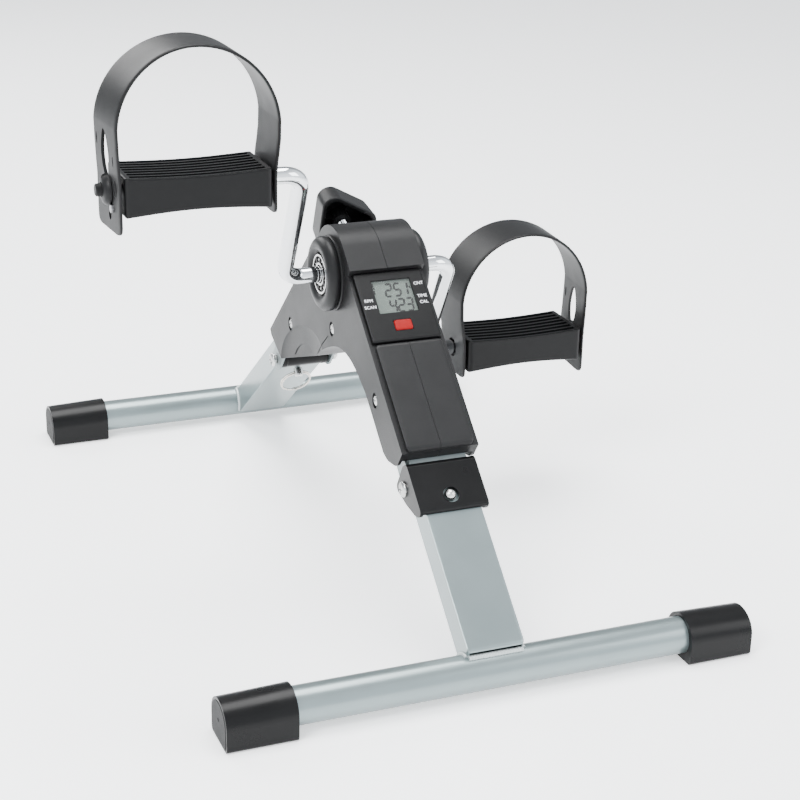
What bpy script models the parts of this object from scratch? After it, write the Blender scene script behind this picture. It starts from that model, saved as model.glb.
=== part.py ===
"""A folding pedal exerciser, modelled as the pieces it comes apart into.

Metres, +Z up. The floor is z = 0, the display faces -Y and X runs along the crank axle.
Each leg has its own side view: "along" runs up the leg from its foot and "out" is the
distance outwards from the leg's outer face, so the tube lies at out = -LEG_DEPTH to 0.
"""

from collections import namedtuple
from math import atan2, cos, pi, radians, sin, tan

import bmesh
import bpy
from mathutils import Matrix, Vector

# Air left between two pieces that touch on the real object.
GAP = 0.0003

# Feet
FOOT_LENGTH = 0.370
FOOT_Y = 0.2537
FOOT_Z = 0.0158
FOOT_TUBE_R = 0.0127
FOOT_TUBE_WALL = 0.0015
CAP_LENGTH = 0.047
CAP_HALF_WIDTH = 0.01675
CAP_TOP = 0.0312
CAP_END_WALL = 0.0035
CAP_DIMPLE_R, CAP_DIMPLE_DEPTH = 0.0012, 0.002

# Legs and the spars of the inner frame, which continue them
LEG_WIDTH = 0.040
LEG_DEPTH = 0.020
LEG_WALL = 0.0015
SPAR_WIDTH = 0.041
BARREL_R = 0.0075
HINGE_BOLT_R = 0.003
EAR_THICKNESS = 0.0016
EAR_OUTER = SPAR_WIDTH / 2 + EAR_THICKNESS
COVER_WALL = 0.0025
COVER_OUTER = EAR_OUTER + GAP + COVER_WALL
WEB_IN, WEB_OUT = 0.0004, 0.0034
HEAD_HEIGHT, NUT_HEIGHT, NUT_R = 0.0026, 0.0045, 0.0056

Leg = namedtuple("Leg", "name side start slope pivot toe lock")
FRONT = Leg("front", -1, (-0.2582, 0.0336), radians(40.5), (0.125, -0.013), (0.0, -0.004), 0.110)
REAR = Leg("rear", 1, (0.2492, 0.0276), radians(37.9), (0.138, -0.018), (-0.004, -0.005), 0.119)

# The cheeks of the hinge covers, as (along, out)
COVER_CHEEKS = {
    "front": (
        (0.0985, -0.003),
        (0.0985, WEB_OUT),
        (0.1355, WEB_OUT),
        (0.1375, 0.0),
        (0.1335, -0.0235),
        (0.1300, -0.0250),
        (0.1150, -0.0170),
        (0.1030, -0.0085),
    ),
    "rear": (
        (0.1030, -0.002),
        (0.1030, WEB_OUT),
        (0.1548, WEB_OUT),
        (0.1552, -0.0006),
        (0.1640, -0.0008),
        (0.1670, -0.0220),
        (0.1440, -0.0270),
        (0.1225, -0.0255),
        (0.1110, -0.0135),
    ),
}
LOCK_HOLE_R = {"front": 0.0056, "rear": 0.0044}

# The sprung locks and the pull ring
BUTTON_R, BUTTON_FLANGE_R = 0.0040, 0.0056
PIN_R, PIN_FLANGE_R = 0.0034, 0.0052
PIN_TAIL_R, PIN_HEAD_R = 0.0022, 0.0036
SPRING_R, SPRING_WIRE = 0.0034, 0.0004
EYE_OUT = -0.0255
RING_R, RING_WIRE = 0.0122, 0.0009
RING_TILT = radians(18)

# Crank and brake
AXLE = (-0.016, 0.2155)
ROD_R = 0.0058
CRANK_RADIUS = 0.110
CRANK_TILT = radians(34)
CRANK_BEND_R = 0.014
ARM_X_AXLE, ARM_X_PEDAL = 0.064, 0.071
ROD_END = 0.1905
DRUM_R, DRUM_HALF = 0.0165, 0.008
MAGNET_REACH = 0.012
BRAKE_TILT = radians(20)
BRAKE_GAP = 0.0012
NUT_PLATE = (0.0265, 0.0305)
SCREW_R = 0.003
KNOB_NEAR, KNOB_FAR, KNOB_TOP_WALL = 0.056, 0.075, 0.0045
KNOB_SIDE, KNOB_CORNER_R, KNOB_WALL = 0.0178, 0.009, 0.0025

# Pedals, measured from the middle of the spindle
PEDAL_IN, PEDAL_OUT = 0.099, 0.196
PEDAL_WALL = 0.003
PEG_R, PEG_HEAD_R = 0.0028, 0.0055
PEG_HEAD = (0.2024, 0.2046)
CLIP_R = 0.008
STRAP_THICKNESS = 0.0022
STRAP_IN, STRAP_OUT = 0.0965, 0.2002
STRAP_LOOP, STRAP_LOOP_R = (0.1475, 0.038), 0.0541
STRAP_HALF = (0.0228, 0.0220)
STRAP_TWIST = 0.08

# Housing
HOUSING_HALF = 0.028
HOUSING_WALL = 0.0022
SEAM_HALF = 0.00015
CROWN_R = 0.0345
FACE_OUT = 0.009
UNDERSIDE = -0.0226
PANEL_HALF, PANEL_OUT = 0.023, 0.012
PANEL_ALONG = (0.1408, 0.2245)
ARM_END = 0.1404
END_LIP_OUT = 0.0006
OPENING_ALONG = (0.2247, 0.2813)
CONSOLE_ALONG = (0.225, 0.281)
CONSOLE_HALF = 0.0254
CONSOLE_OUT = (0.0009, 0.0122)
CONSOLE_WALL = 0.002
RESET_ALONG = 0.2368
BOSS_R, BOSS_TIP_R, BOSS_FACE = 0.0273, 0.022, 0.0375
PILLAR_R, RECESS_R = 0.0045, 0.0042
SCREW_SPOTS = ((-0.1056, 0.1508), (0.0768, 0.1464), (-0.0172, 0.1733))

# Turns a side outline, drawn as (y, z), with its thickness along X
TO_SIDE = Matrix(((0, 0, 1, 0), (1, 0, 0, 0), (0, 1, 0, 0), (0, 0, 0, 1)))

PALETTE = {
    "silver_paint": ((0.50, 0.54, 0.55), 0.35, 0.3),
    "black_plastic": ((0.035, 0.035, 0.037), 0.38, 0.0),
    "grey_plastic": ((0.10, 0.10, 0.105), 0.45, 0.0),
    "matte_black": ((0.03, 0.03, 0.032), 0.6, 0.0),
    "frame_steel": ((0.30, 0.32, 0.33), 0.45, 0.7),
    "chrome": ((0.85, 0.86, 0.87), 0.08, 1.0),
    "zinc": ((0.62, 0.62, 0.60), 0.3, 1.0),
    "rubber": ((0.02, 0.02, 0.02), 0.85, 0.0),
    "red_plastic": ((0.65, 0.04, 0.04), 0.4, 0.0),
    "lcd": ((0.42, 0.47, 0.43), 0.3, 0.0),
    "clear": ((0.9, 0.92, 0.92), 0.05, 0.0),
    "circuit_green": ((0.03, 0.20, 0.08), 0.5, 0.0),
    "nylon": ((0.75, 0.74, 0.70), 0.5, 0.0),
}


def clear_scene():
    for item in list(bpy.data.objects):
        bpy.data.objects.remove(item)


def make_collection(name, hidden=False):
    found = bpy.data.collections.new(name)
    found.hide_render = hidden
    bpy.context.scene.collection.children.link(found)
    return found


def make_material(name):
    colour, roughness, metallic = PALETTE[name]
    found = bpy.data.materials.get(name) or bpy.data.materials.new(name)
    found.use_nodes = True
    shader = found.node_tree.nodes["Principled BSDF"]
    shader.inputs["Base Color"].default_value = (*colour, 1)
    shader.inputs["Roughness"].default_value = roughness
    shader.inputs["Metallic"].default_value = metallic
    return found


# --- side view geometry ---


def at(leg, along, out):
    """The point (y, z) of a leg's own side view."""
    up = (-leg.side * cos(leg.slope), sin(leg.slope))
    outwards = (leg.side * sin(leg.slope), cos(leg.slope))
    return tuple(leg.start[i] + along * up[i] + out * outwards[i] for i in (0, 1))


def leg_axis(leg):
    """The unit vector outwards from a leg's outer face."""
    return Vector((0, leg.side * sin(leg.slope), cos(leg.slope)))


def brake_point(radius, across=0.0):
    """The point (y, z) at this distance from the axle along the tension screw."""
    along = (cos(BRAKE_TILT), sin(BRAKE_TILT))
    return (
        AXLE[0] + radius * along[0] - across * along[1],
        AXLE[1] + radius * along[1] + across * along[0],
    )


def arc(centre, radius, start, end, steps):
    """Points (a, b) on an arc, its angles in degrees."""
    turns = [radians(start + (end - start) * i / steps) for i in range(steps + 1)]
    return [(centre[0] + radius * cos(t), centre[1] + radius * sin(t)) for t in turns]


def inset(outline, distance):
    """The outline moved inwards by a distance along every edge."""
    count = len(outline)
    area = sum(
        outline[i - 1][0] * outline[i][1] - outline[i][0] * outline[i - 1][1]
        for i in range(count)
    )
    hand = 1 if area > 0 else -1
    moved = []
    for i, (y, z) in enumerate(outline):
        before, after = outline[i - 1], outline[(i + 1) % count]
        first = atan2(z - before[1], y - before[0])
        turn = (atan2(after[1] - z, after[0] - y) - first + pi) % (2 * pi) - pi
        middle = first + turn / 2 + hand * pi / 2
        reach = distance / cos(turn / 2)
        moved.append((y + reach * cos(middle), z + reach * sin(middle)))
    return moved


# --- solids ---


def new_mesh_object(name, mesh):
    return bpy.data.objects.new(name, mesh)


def mesh_of(item, matrix):
    """The evaluated mesh of a temporary object, welded, faces outwards and moved by a matrix."""
    scene = bpy.context.scene.collection
    scene.objects.link(item)
    graph = bpy.context.evaluated_depsgraph_get()
    mesh = bpy.data.meshes.new_from_object(item.evaluated_get(graph))
    bpy.data.objects.remove(item)
    work = bmesh.new()
    work.from_mesh(mesh)
    bmesh.ops.remove_doubles(work, verts=work.verts, dist=1e-6)
    bmesh.ops.transform(work, matrix=matrix, verts=work.verts)
    bmesh.ops.recalc_face_normals(work, faces=work.faces)
    work.to_mesh(mesh)
    work.free()
    return mesh


def flat_curve(name, outline, half):
    curve = bpy.data.curves.new(name, "CURVE")
    curve.dimensions = "2D"
    curve.fill_mode = "BOTH"
    curve.extrude = half
    spline = curve.splines.new("POLY")
    spline.points.add(len(outline) - 1)
    for point, place in zip(spline.points, outline):
        point.co = (*place, 0, 1)
    spline.use_cyclic_u = True
    return curve


def prism(name, outline, low, high, frame=TO_SIDE):
    """A flat outline with thickness: drawn as (y, z) and thick along X, unless a frame is given."""
    curve = flat_curve(name, outline, (high - low) / 2)
    lift = Matrix.Translation((0, 0, (low + high) / 2))
    item = bpy.data.objects.new(name, curve)
    return new_mesh_object(name, mesh_of(item, frame @ lift))


def leg_block(leg, name, along, out, half_width):
    """A box in a leg's side view, symmetric about x = 0."""
    corners = [(along[0], out[0]), (along[1], out[0]), (along[1], out[1]), (along[0], out[1])]
    return prism(name, [at(leg, *corner) for corner in corners], -half_width, half_width)


def pointing(start, direction):
    """A frame at a start point, its Z along a direction and its X near world X."""
    z = Vector(direction).normalized()
    side = Vector((1, 0, 0)) if abs(z.x) < 0.9 else Vector((0, 1, 0))
    y = z.cross(side).normalized()
    x = y.cross(z)
    frame = Matrix((x, y, z)).transposed().to_4x4()
    frame.translation = Vector(start)
    return frame


def cylinder(name, start, end, radius, sides=24, end_radius=None):
    start, end = Vector(start), Vector(end)
    work = bmesh.new()
    bmesh.ops.create_cone(
        work,
        cap_ends=True,
        segments=sides,
        radius1=radius,
        radius2=radius if end_radius is None else end_radius,
        depth=(end - start).length,
        matrix=pointing((start + end) / 2, end - start),
    )
    mesh = bpy.data.meshes.new(name)
    work.to_mesh(mesh)
    work.free()
    return new_mesh_object(name, mesh)


def across(name, centre, low, high, radius, sides=24, end_radius=None):
    """A cylinder along X about a point (y, z)."""
    return cylinder(name, (low, *centre), (high, *centre), radius, sides, end_radius)


def turned(name, profile, frame, ring=False, sides=24):
    """A profile of (radius, height) turned about a frame's Z, listed down its outer side."""
    mesh = bpy.data.meshes.new(name)
    links = [(i, i + 1) for i in range(len(profile) - 1)]
    if ring:
        links.append((len(profile) - 1, 0))
    mesh.from_pydata([(radius, 0, height) for radius, height in profile], links, [])
    item = new_mesh_object(name, mesh)
    item.matrix_world = frame
    screw = item.modifiers.new("Turn", "SCREW")
    screw.steps = screw.render_steps = sides
    screw.use_merge_vertices = True
    screw.merge_threshold = 1e-5
    screw.use_smooth_shade = True
    return item


def ring_profile(inner, outer, low, high):
    return [(inner, high), (outer, high), (outer, low), (inner, low)]


def wire(name, points, radius, resolution=2, cyclic=False):
    """A round bar along a list of points."""
    curve = bpy.data.curves.new(name, "CURVE")
    curve.dimensions = "3D"
    curve.bevel_depth = radius
    curve.bevel_resolution = resolution
    curve.use_fill_caps = not cyclic
    spline = curve.splines.new("POLY")
    spline.points.add(len(points) - 1)
    for point, place in zip(spline.points, points):
        point.co = (*place, 1)
    spline.use_cyclic_u = cyclic
    return bpy.data.objects.new(name, curve)


def hull_plate(name, points, low, high):
    """The convex plate round a set of (y, z) points, thick along X."""
    work = bmesh.new()
    for x in (low, high):
        for y, z in points:
            work.verts.new((x, y, z))
    made = bmesh.ops.convex_hull(work, input=work.verts)
    loose = [item for item in made["geom_interior"] if isinstance(item, bmesh.types.BMVert)]
    bmesh.ops.delete(work, geom=loose, context="VERTS")
    bmesh.ops.dissolve_limit(work, angle_limit=0.001, verts=work.verts, edges=work.edges)
    bmesh.ops.recalc_face_normals(work, faces=work.faces)
    mesh = bpy.data.meshes.new(name)
    work.to_mesh(mesh)
    work.free()
    return new_mesh_object(name, mesh)


def boolean(target, other, operation):
    step = target.modifiers.new(operation.title(), "BOOLEAN")
    step.operation = operation
    step.solver = "EXACT"
    step.object = other
    other.hide_render = True
    other.display_type = "WIRE"
    CUTTERS.objects.link(other)


def cut(target, *others):
    for other in others:
        boolean(target, other, "DIFFERENCE")


def join(target, *others):
    for other in others:
        boolean(target, other, "UNION")


def soften(item, width, segments=2, angle=35):
    """Rounds the edges sharper than an angle, before later cuts."""
    step = item.modifiers.new("Round", "BEVEL")
    step.width = width
    step.segments = segments
    step.limit_method = "ANGLE"
    step.angle_limit = radians(angle)


def place(item, material, parent=None):
    """Puts a finished piece in the model, on its moving body's empty if it has one."""
    PARTS.objects.link(item)
    item.data.materials.clear()
    item.data.materials.append(make_material(material))
    if parent:
        item.parent = parent
        item.matrix_parent_inverse = Matrix.Translation(-parent.location)
    if item.type == "MESH" and item.data.polygons:
        item.data.shade_smooth()
        item.data.set_sharp_from_angle(angle=radians(35))
    return item


def pivot_empty(name, location, parent=None):
    """An empty on a joint's axis."""
    empty = bpy.data.objects.new(name, None)
    empty.empty_display_size = 0.03
    empty.location = location
    PARTS.objects.link(empty)
    if parent:
        empty.parent = parent
        empty.matrix_parent_inverse = Matrix.Translation(-parent.location)
    return empty


# --- feet and legs ---


def make_foot(leg, body):
    centre = (leg.side * FOOT_Y, FOOT_Z)
    reach = FOOT_LENGTH / 2 - CAP_END_WALL - GAP
    frame = pointing((0, *centre), (1, 0, 0))
    profile = ring_profile(FOOT_TUBE_R - FOOT_TUBE_WALL, FOOT_TUBE_R, -reach, reach)
    place(turned(f"{leg.name}_foot_tube", profile, frame, ring=True), "silver_paint", body)
    for hand, word in ((-1, "left"), (1, "right")):
        make_cap(leg, hand, f"{leg.name}_foot_cap_{word}", body)


def make_cap(leg, hand, name, body):
    """A D-shaped end cap: flat on the floor, round on top, bored for the foot tube."""
    y = leg.side * FOOT_Y
    squash = (CAP_TOP - FOOT_Z) / CAP_HALF_WIDTH
    top = [(a, FOOT_Z + b * squash) for a, b in arc((y, 0), CAP_HALF_WIDTH, 0, 180, 12)]
    outline = [(y - CAP_HALF_WIDTH, 0), (y + CAP_HALF_WIDTH, 0)] + top
    outer, inner = FOOT_LENGTH / 2, FOOT_LENGTH / 2 - CAP_LENGTH
    low, high = sorted((hand * inner, hand * outer))
    cap = prism(name, outline, low, high)
    soften(cap, 0.0018)
    bore_end = hand * (outer - CAP_END_WALL)
    bore = across(f"{name}_bore", (y, FOOT_Z), hand * (inner - 0.01), bore_end, FOOT_TUBE_R + GAP)
    ends = (hand * (outer - CAP_DIMPLE_DEPTH), hand * (outer + 0.01))
    dimple = across(f"{name}_dimple", (y, FOOT_Z), *ends, CAP_DIMPLE_R, 12)
    cut(cap, bore, dimple)
    place(cap, "black_plastic", body)


def make_leg(leg, body):
    """A rectangular tube, coped over its foot tube and round its hinge barrel."""
    half, top = LEG_WIDTH / 2, leg.pivot[0]
    corners = [(leg.toe[0], 0), (top, 0), (top, -LEG_DEPTH), (leg.toe[1], -LEG_DEPTH)]
    tube = prism(f"{leg.name}_leg_tube", [at(leg, *corner) for corner in corners], -half, half)
    soften(tube, 0.0012, 2, 60)
    bore = leg_block(
        leg,
        f"{leg.name}_leg_bore",
        (-0.05, top + 0.05),
        (-LEG_DEPTH + LEG_WALL, -LEG_WALL),
        half - LEG_WALL,
    )
    pivot = at(leg, *leg.pivot)
    foot = across("foot_cope", (leg.side * FOOT_Y, FOOT_Z), -0.05, 0.05, FOOT_TUBE_R + GAP, 48)
    barrel = across("barrel_cope", pivot, -0.05, 0.05, BARREL_R + GAP, 32)
    cut(tube, bore, foot, barrel)
    place(tube, "silver_paint", body)
    return tube


def make_barrel(leg, body):
    frame = pointing((0, *at(leg, *leg.pivot)), (1, 0, 0))
    profile = ring_profile(HINGE_BOLT_R + GAP, BARREL_R, -LEG_WIDTH / 2, LEG_WIDTH / 2)
    place(turned(f"{leg.name}_hinge_barrel", profile, frame, ring=True), "black_plastic", body)


def make_hinge_bolt(leg):
    """A round-headed bolt on the left, with a closed nut on the right."""
    centre = at(leg, *leg.pivot)
    head = COVER_OUTER + GAP
    leftwards = pointing((0, *centre), (-1, 0, 0))
    shank_end = -(COVER_OUTER + 0.0035)
    profile = [
        (0, head + HEAD_HEIGHT),
        (0.0035, head + HEAD_HEIGHT - 0.0002),
        (0.0052, head + 0.0012),
        (0.0055, head),
        (HINGE_BOLT_R, head),
        (HINGE_BOLT_R, shank_end),
        (0, shank_end),
    ]
    place(turned(f"{leg.name}_hinge_bolt", profile, leftwards), "zinc")
    rightwards = pointing((0, *centre), (1, 0, 0))
    nut = cylinder(
        f"{leg.name}_hinge_nut",
        rightwards @ Vector((0, 0, head)),
        rightwards @ Vector((0, 0, head + NUT_HEIGHT)),
        NUT_R,
        6,
    )
    bore_end = head + NUT_HEIGHT - 0.0009
    bore = across("nut_bore", centre, head - 0.002, bore_end, HINGE_BOLT_R + GAP)
    cut(nut, bore)
    place(nut, "zinc")


def lock_hole(leg):
    """Room in the cover for the lock's rounded tip, which cams out as the leg folds."""
    start = (0, *at(leg, leg.lock - 0.0007, WEB_IN - 0.004))
    end = (0, *at(leg, leg.lock - 0.0007, WEB_OUT + 0.004))
    return cylinder(f"{leg.name}_lock_hole", start, end, LOCK_HOLE_R[leg.name])


def make_cover(leg):
    """The U-shaped hinge cover: a web over the leg's outer face, and a cheek each side."""
    outline = [at(leg, *corner) for corner in COVER_CHEEKS[leg.name]]
    cover = prism(f"{leg.name}_hinge_cover", outline, -COVER_OUTER, COVER_OUTER)
    soften(cover, 0.0012)
    slot = leg_block(leg, "cover_slot", (0.05, 0.25), (-0.06, WEB_IN), EAR_OUTER + GAP)
    bolt = across("cover_bolt_hole", at(leg, *leg.pivot), -0.05, 0.05, HINGE_BOLT_R + GAP)
    cut(cover, slot, bolt, lock_hole(leg))
    place(cover, "black_plastic")


# --- the locks in the legs ---


def coil(name, frame, radius, low, high, turns, wire_radius):
    steps = 10
    count = int(turns * steps)
    points = []
    for i in range(count + 1):
        turn = 2 * pi * i / steps
        height = low + (high - low) * i / count
        points.append(frame @ Vector((radius * cos(turn), radius * sin(turn), height)))
    return wire(name, points, wire_radius, 1)


def lock_spring(name, frame, top):
    """The coil between the leg's inner wall and the foot of its lock."""
    low, high = -LEG_DEPTH + LEG_WALL + 0.001, top - 0.0008
    return coil(name, frame, SPRING_R, low, high, 4, SPRING_WIRE)


def dome(radius, base, steps=5):
    """Profile points of a half ball, from its top down to its equator at a height."""
    turns = [pi / 2 * i / steps for i in range(1, steps + 1)]
    return [(0, base + radius)] + [(radius * sin(t), base + radius * cos(t)) for t in turns]


def wall_hole(name, frame, low, high, radius):
    """A round cutter along a frame's Z between two heights."""
    return cylinder(name, frame @ Vector((0, 0, low)), frame @ Vector((0, 0, high)), radius)


def make_front_lock(leg_tube, body):
    """A sprung button in the front leg whose dome stands in the cover's hole."""
    spot = (0, *at(FRONT, FRONT.lock, 0))
    frame = pointing(spot, leg_axis(FRONT))
    seat = -LEG_WALL - GAP
    foot = seat - 0.0015
    profile = dome(BUTTON_R, 0.0014) + [
        (BUTTON_R, seat),
        (BUTTON_FLANGE_R, seat),
        (BUTTON_FLANGE_R, foot),
        (0, foot),
    ]
    place(turned("front_lock_button", profile, frame), "chrome", body)
    cut(leg_tube, wall_hole("front_button_hole", frame, -0.004, 0.004, BUTTON_R + GAP))
    place(lock_spring("front_lock_spring", frame, foot), "zinc", body)


def make_rear_lock(leg_tube, pin_body, ring_body):
    """A sprung pull pin through the rear leg: its nose stands in the cover, its tail has a ring."""
    spot = (0, *at(REAR, REAR.lock, 0))
    frame = pointing(spot, leg_axis(REAR))
    seat = -LEG_WALL - GAP
    foot = seat - 0.0018
    back = -LEG_DEPTH - 0.0018
    profile = dome(PIN_R, 0.0006) + [
        (PIN_R, seat),
        (PIN_FLANGE_R, seat),
        (PIN_FLANGE_R, foot),
        (PIN_TAIL_R, foot),
        (PIN_TAIL_R, back),
        (PIN_HEAD_R, back),
        (PIN_HEAD_R, back - 0.0062),
        (PIN_HEAD_R - 0.001, back - 0.0072),
        (0, back - 0.0072),
    ]
    pin = turned("rear_lock_pin", profile, frame)
    eye = Vector((0, *at(REAR, REAR.lock, EYE_OUT)))
    cut(pin, across("pin_eye", eye.yz, -0.01, 0.01, RING_WIRE + 0.0008, 16))
    place(pin, "zinc", pin_body)
    nose_hole = wall_hole("pin_nose_hole", frame, -0.004, 0.004, PIN_R + GAP)
    tail_hole = wall_hole("pin_tail_hole", frame, -0.03, -0.012, PIN_TAIL_R + GAP)
    cut(leg_tube, nose_hole, tail_hole)
    place(lock_spring("rear_lock_spring", frame, foot), "zinc", pin_body)
    make_pull_ring(eye, ring_body)


def make_pull_ring(eye, body):
    """A ring through the pin's eye, lying down the leg and a little away from it."""
    heading = -REAR.slope - RING_TILT
    down = Vector((0, cos(heading), sin(heading)))
    centre = eye + RING_R * down
    sides = 24
    points = []
    for i in range(sides):
        turn = 2 * pi * i / sides
        points.append(centre + RING_R * (cos(turn) * down + sin(turn) * Vector((1, 0, 0))))
    place(wire("pull_ring", points, RING_WIRE, 1, cyclic=True), "zinc", body)


# --- the inner frame ---


def make_ear(leg, hand, start):
    """A lug from a spar's end to its leg's hinge."""
    points = arc(at(leg, *leg.pivot), 0.009, 4, 346, 19)
    points += [at(leg, start, -0.0195), at(leg, start, -0.004)]
    low, high = sorted((hand * (SPAR_WIDTH / 2 - 0.00015), hand * EAR_OUTER))
    return hull_plate(f"{leg.name}_ear", points, low, high)


def make_cheek_plate(hand):
    """A plate that ties both spars, the bearing and the brake's nut plate together."""
    points = arc(AXLE, 0.019, 0, 345, 23)
    points += [at(FRONT, along, out) for along in (0.252, 0.272) for out in (-0.001, -0.019)]
    points += [at(REAR, along, out) for along in (0.272, 0.290) for out in (-0.0035, -0.019)]
    points += [brake_point(radius, side * 0.010) for radius in NUT_PLATE for side in (-1, 1)]
    low, high = sorted((hand * (SPAR_WIDTH / 2 - 0.001), hand * 0.0225))
    return hull_plate("cheek_plate", points, low, high)


def make_frame():
    """Two spars joined by cheek plates that carry the axle, with ears for the leg hinges."""
    half = SPAR_WIDTH / 2
    front = [(0.1345, 0), (0.272, 0), (0.272, -LEG_DEPTH), (0.150, -LEG_DEPTH)]
    rear = [(0.160, -0.0025), (0.290, -0.0025), (0.290, -LEG_DEPTH), (0.160, -LEG_DEPTH)]
    frame = prism("main_frame", [at(FRONT, *corner) for corner in front], -half, half)
    added = [prism("rear_spar", [at(REAR, *corner) for corner in rear], -half, half)]
    nut_plate = [
        brake_point(NUT_PLATE[0], -0.010),
        brake_point(NUT_PLATE[1], -0.010),
        brake_point(NUT_PLATE[1], 0.010),
        brake_point(NUT_PLATE[0], 0.010),
    ]
    added.append(prism("nut_plate", nut_plate, 0.0004 - half, half - 0.0004))
    for hand in (-1, 1):
        added.append(make_cheek_plate(hand))
        added.append(across("bearing_tube", AXLE, *sided(hand, half - 0.0002, 0.028), 0.012))
        added += [make_ear(FRONT, hand, 0.165), make_ear(REAR, hand, 0.172)]
    join(frame, *added)
    inner = half - LEG_WALL
    cut(
        frame,
        leg_block(FRONT, "front_bore", (0.10, 0.28), (LEG_WALL - LEG_DEPTH, -LEG_WALL), inner),
        leg_block(REAR, "rear_bore", (0.10, 0.295), (LEG_WALL - LEG_DEPTH, -0.004), inner),
        across("bearing_bore", AXLE, -0.05, 0.05, 0.009),
        screw_bore("nut_plate_hole", 0.020, 0.034, SCREW_R + 0.0004),
        *[across("ear_hole", at(leg, *leg.pivot), -0.05, 0.05, 0.0033) for leg in (FRONT, REAR)],
        *[across("spar_hole", spot, -0.05, 0.05, 0.0023, 12) for spot in SCREW_SPOTS[:2]],
    )
    place(frame, "frame_steel")


def screw_bore(name, low, high, radius):
    """A hole along the tension screw between two distances from the axle."""
    start, end = brake_point(low), brake_point(high)
    return cylinder(name, (0, *start), (0, *end), radius)


# --- the housing ---


def housing_outline(open_ends):
    """The side outline of the housing, or of its hollow, which runs out through both ends."""
    top = arc(AXLE, CROWN_R, 46.2, 130.5, 12)
    top += [at(FRONT, 0.2815, 0.0155), at(FRONT, 0.2815, FACE_OUT)]
    arm_end = [at(FRONT, ARM_END, FACE_OUT), at(FRONT, 0.1388, -0.0066)]
    arm_end.append(at(FRONT, 0.158, UNDERSIDE))
    rear_end = [(0.0991, 0.1099), (0.1244, 0.1209), (0.1277, 0.1253)]
    if open_ends:
        lip = END_LIP_OUT + HOUSING_WALL
        arm_end = [at(FRONT, ARM_END, FACE_OUT), at(FRONT, ARM_END, lip)]
        arm_end += [at(FRONT, 0.115, lip), at(FRONT, 0.115, UNDERSIDE)]
        rear_end = [(0.1272, 0.0993), (0.1458, 0.1079)]
    under = [
        at(FRONT, 0.205, UNDERSIDE),
        (-0.0702, 0.1592),
        (-0.0550, 0.1644),
        (-0.0405, 0.1658),
        (-0.0250, 0.1635),
        (0.0, 0.1525),
        (0.0206, 0.1394),
    ]
    return top + arm_end + under + rear_end


def sided(hand, near, far):
    """The same span of X on either side."""
    return sorted((hand * near, hand * far))


def make_boss(hand, near, far, radius, tip_radius):
    start, end = (hand * near, *AXLE), (hand * far, *AXLE)
    return cylinder("boss", start, end, radius, 48, tip_radius)


def make_housing(hand, word):
    """One half of the housing: an open-bottomed shell with the crank boss and screw pillars."""
    name = f"housing_{word}"
    shell = prism(name, housing_outline(False), *sided(hand, SEAM_HALF, HOUSING_HALF))
    soften(shell, 0.0016, 2, 75)
    corners = [(PANEL_ALONG[0], FACE_OUT - 0.001), (PANEL_ALONG[1], FACE_OUT - 0.001)]
    corners += [(PANEL_ALONG[1], PANEL_OUT), (PANEL_ALONG[0] + 0.001, PANEL_OUT)]
    panel = prism(
        "arm_panel", [at(FRONT, *corner) for corner in corners], *sided(hand, SEAM_HALF, PANEL_HALF)
    )
    soften(panel, 0.0012, 2, 60)
    join(shell, panel, make_boss(hand, 0.027, BOSS_FACE, BOSS_R, BOSS_TIP_R))
    hollow = inset(housing_outline(True), HOUSING_WALL)
    inner = HOUSING_HALF - HOUSING_WALL
    cut(
        shell,
        leg_block(FRONT, "console_opening", OPENING_ALONG, (0.0, 0.03), inner - 0.0002),
        prism("hollow", hollow, *sided(hand, -0.005, inner)),
        leg_block(FRONT, "panel_hollow", (ARM_END + 0.004, 0.222), (0.002, 0.0097), 0.0207),
        make_boss(hand, inner - 0.0005, BOSS_FACE - 0.0022, BOSS_R - 0.0024, BOSS_TIP_R - 0.0024),
        across("hub_hole", AXLE, *sided(hand, 0.030, 0.050), 0.0124, 32),
        screw_bore("screw_slot", 0.028, 0.045, 0.0042),
    )
    for index, spot in enumerate(SCREW_SPOTS):
        through = index == 2
        near = 0.0005 if through else 0.0209
        join(shell, across("pillar", spot, *sided(hand, near, inner + 0.001), PILLAR_R, 16))
    for index, spot in enumerate(SCREW_SPOTS):
        if hand < 0:
            cut(shell, across("shank_hole", spot, -0.05, 0.0, 0.0021, 12))
            cut(shell, across("head_recess", spot, -0.05, -0.0264, RECESS_R, 16))
        else:
            cut(shell, across("pilot", spot, -0.001, 0.0262, 0.0021, 12))
    place(shell, "grey_plastic")


def make_housing_screws():
    for number, spot in enumerate(SCREW_SPOTS, 1):
        frame = pointing((0, *spot), (-1, 0, 0))
        profile = [
            (0, 0.0281),
            (0.0024, 0.0279),
            (0.0036, 0.0272),
            (0.0036, 0.0267),
            (0.0018, 0.0267),
            (0.0018, -0.0255),
            (0, -0.0255),
        ]
        place(turned(f"housing_screw_{number}", profile, frame, sides=16), "zinc")


# --- the console ---


def console_block(name, x_low, x_high, along, out):
    corners = [(along[0], out[0]), (along[1], out[0]), (along[1], out[1]), (along[0], out[1])]
    return prism(name, [at(FRONT, *corner) for corner in corners], x_low, x_high)


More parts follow.
